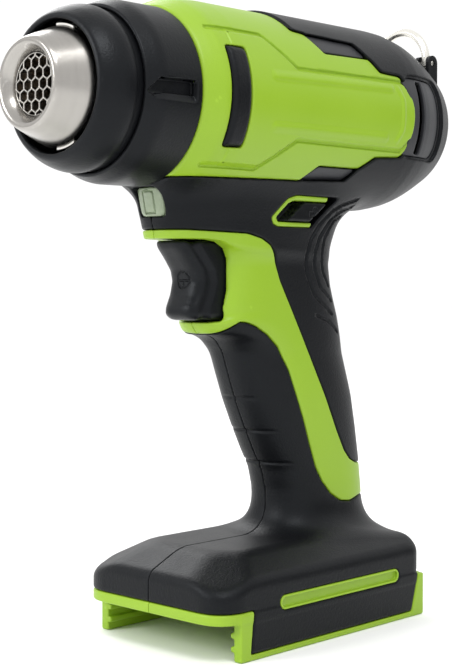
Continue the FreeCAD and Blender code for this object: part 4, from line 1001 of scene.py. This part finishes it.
for side, side_name in ((-1, "left"), (1, "right")):
    near, far = (-39, -7) if side < 0 else (7, 39)
    field_piece(f"barrel_inlays_{side_name}", inlay_field(side), (4, near, 172), (42, far, 234),
                "grey_plastic", "housing", [f"side_inlays_{side_name}"])
    field_piece(f"grip_bar_{side_name}", bar_field(side), (-46, near, 182), (-31, far, 223),
                "black_rubber", "housing", [f"side_bar_{side_name}"])
    field_piece(f"air_inlet_{side_name}", vent_field(side), (56, near, 185), (89, far, 222),
                "grey_plastic", "housing", [f"vent_grille_{side_name}"])
    field_piece(f"slot_trim_{side_name}", trim_field(side), (-21, near, 14), (54, far, 23),
                "green_plastic", "housing", [f"foot_trim_{side_name}"], cell=0.4)


# ---------------------------------------------------------------- hanging ring
RING_X, PIVOT_Z, RING_HALF, WIRE_R = 102.4, 231.0, 13.0, 1.79


def ring_field(x, y, z):
    """A round wire bent into a U, with pins at its feet."""
    side = np.abs(y)
    bow = np.hypot(np.hypot(y, z - PIVOT_Z - WIRE_R) - RING_HALF, x - RING_X)
    leg = np.hypot(side - RING_HALF, x - RING_X)
    wire = np.where(z > PIVOT_Z + WIRE_R, bow, leg) - WIRE_R
    wire = smooth_max(wire, PIVOT_Z - WIRE_R - z, 1.0)
    pin = np.hypot(x - RING_X, z - PIVOT_Z) - 1.1
    pin = smooth_max(pin, np.abs(side - RING_HALF) - 3.6, 0.5)
    return smooth_min(wire, pin, 0.6)


field_piece("ring_bail", ring_field, (99, -18, 228), (106, 18, 248), "ring_steel",
            "hang_ring", ["hang_ring"], cell=0.4)

# ------------------------------------------------------ camera, light, floor
CAMERA_AT = Vector((-0.4122, -0.3897, 0.1384))
YAW, PITCH_DOWN = math.radians(45.976), math.radians(2.207)
camera_data = bpy.data.cameras.new("camera")
camera_data.lens = 78.11
camera_data.sensor_width = 36.0
camera = bpy.data.objects.new("camera", camera_data)
camera.location = CAMERA_AT
looking = Vector((math.sin(YAW) * math.cos(PITCH_DOWN), math.cos(YAW) * math.cos(PITCH_DOWN),
                  -math.sin(PITCH_DOWN)))
camera.rotation_mode = "QUATERNION"
camera.rotation_quaternion = looking.to_track_quat("-Z", "Y")
camera_data.clip_start, camera_data.clip_end = 0.01, 50.0
bpy.context.scene.collection.objects.link(camera)
bpy.context.scene.camera = camera


def area_light(name, at, aim, size, watts):
    """A square soft light at one place, facing another."""
    data = bpy.data.lights.new(name, "AREA")
    data.shape = "SQUARE"
    data.size = size
    data.energy = watts
    made = bpy.data.objects.new(name, data)
    made.location = at
    made.rotation_mode = "QUATERNION"
    made.rotation_quaternion = (Vector(aim) - Vector(at)).to_track_quat("-Z", "Y")
    bpy.context.scene.collection.objects.link(made)


MIDDLE = (0.0, 0.0, 0.14)
area_light("key", (-0.35, -0.55, 1.1), MIDDLE, 0.45, 5.5)
area_light("front", (-1.0, 0.35, 0.6), MIDDLE, 0.4, 5.0)
area_light("back", (0.3, 0.9, 0.8), MIDDLE, 0.6, 4.0)

bpy.context.scene.view_settings.view_transform = "Standard"
world = bpy.data.worlds.new("studio")
bpy.context.scene.world = world
world.use_nodes = True
world.node_tree.nodes["Background"].inputs["Color"].default_value = (1.0, 1.0, 1.0, 1)
world.node_tree.nodes["Background"].inputs["Strength"].default_value = 1.06

floor_mesh = bpy.data.meshes.new("floor")
FLOOR_HALF = 6.0
floor_mesh.from_pydata([(-FLOOR_HALF, -FLOOR_HALF, 0), (FLOOR_HALF, -FLOOR_HALF, 0),
                        (FLOOR_HALF, FLOOR_HALF, 0), (-FLOOR_HALF, FLOOR_HALF, 0)],
                       [], [(0, 1, 2, 3)])
floor = bpy.data.objects.new("floor", floor_mesh)
bpy.context.scene.collection.objects.link(floor)
floor_material = bpy.data.materials.new("floor")
floor_material.use_nodes = True
floor_shader = floor_material.node_tree.nodes["Principled BSDF"]
floor_shader.inputs["Base Color"].default_value = (0.97, 0.97, 0.97, 1)
floor_shader.inputs["Roughness"].default_value = 0.9
floor_mesh.materials.append(floor_material)

# A dark card beside the camera gives the metal its darker band.
card_mesh = bpy.data.meshes.new("dark_card")
card_mesh.from_pydata([(0.45, -1.35, 0.0), (1.45, -0.55, 0.0), (1.45, -0.55, 0.55),
                       (0.45, -1.35, 0.55)], [], [(0, 1, 2, 3)])
card = bpy.data.objects.new("dark_card", card_mesh)
bpy.context.scene.collection.objects.link(card)
card_material = bpy.data.materials.new("dark_card")
card_material.use_nodes = True
card_material.node_tree.nodes["Principled BSDF"].inputs["Base Color"].default_value = (
    0.02, 0.02, 0.02, 1)
card_mesh.materials.append(card_material)
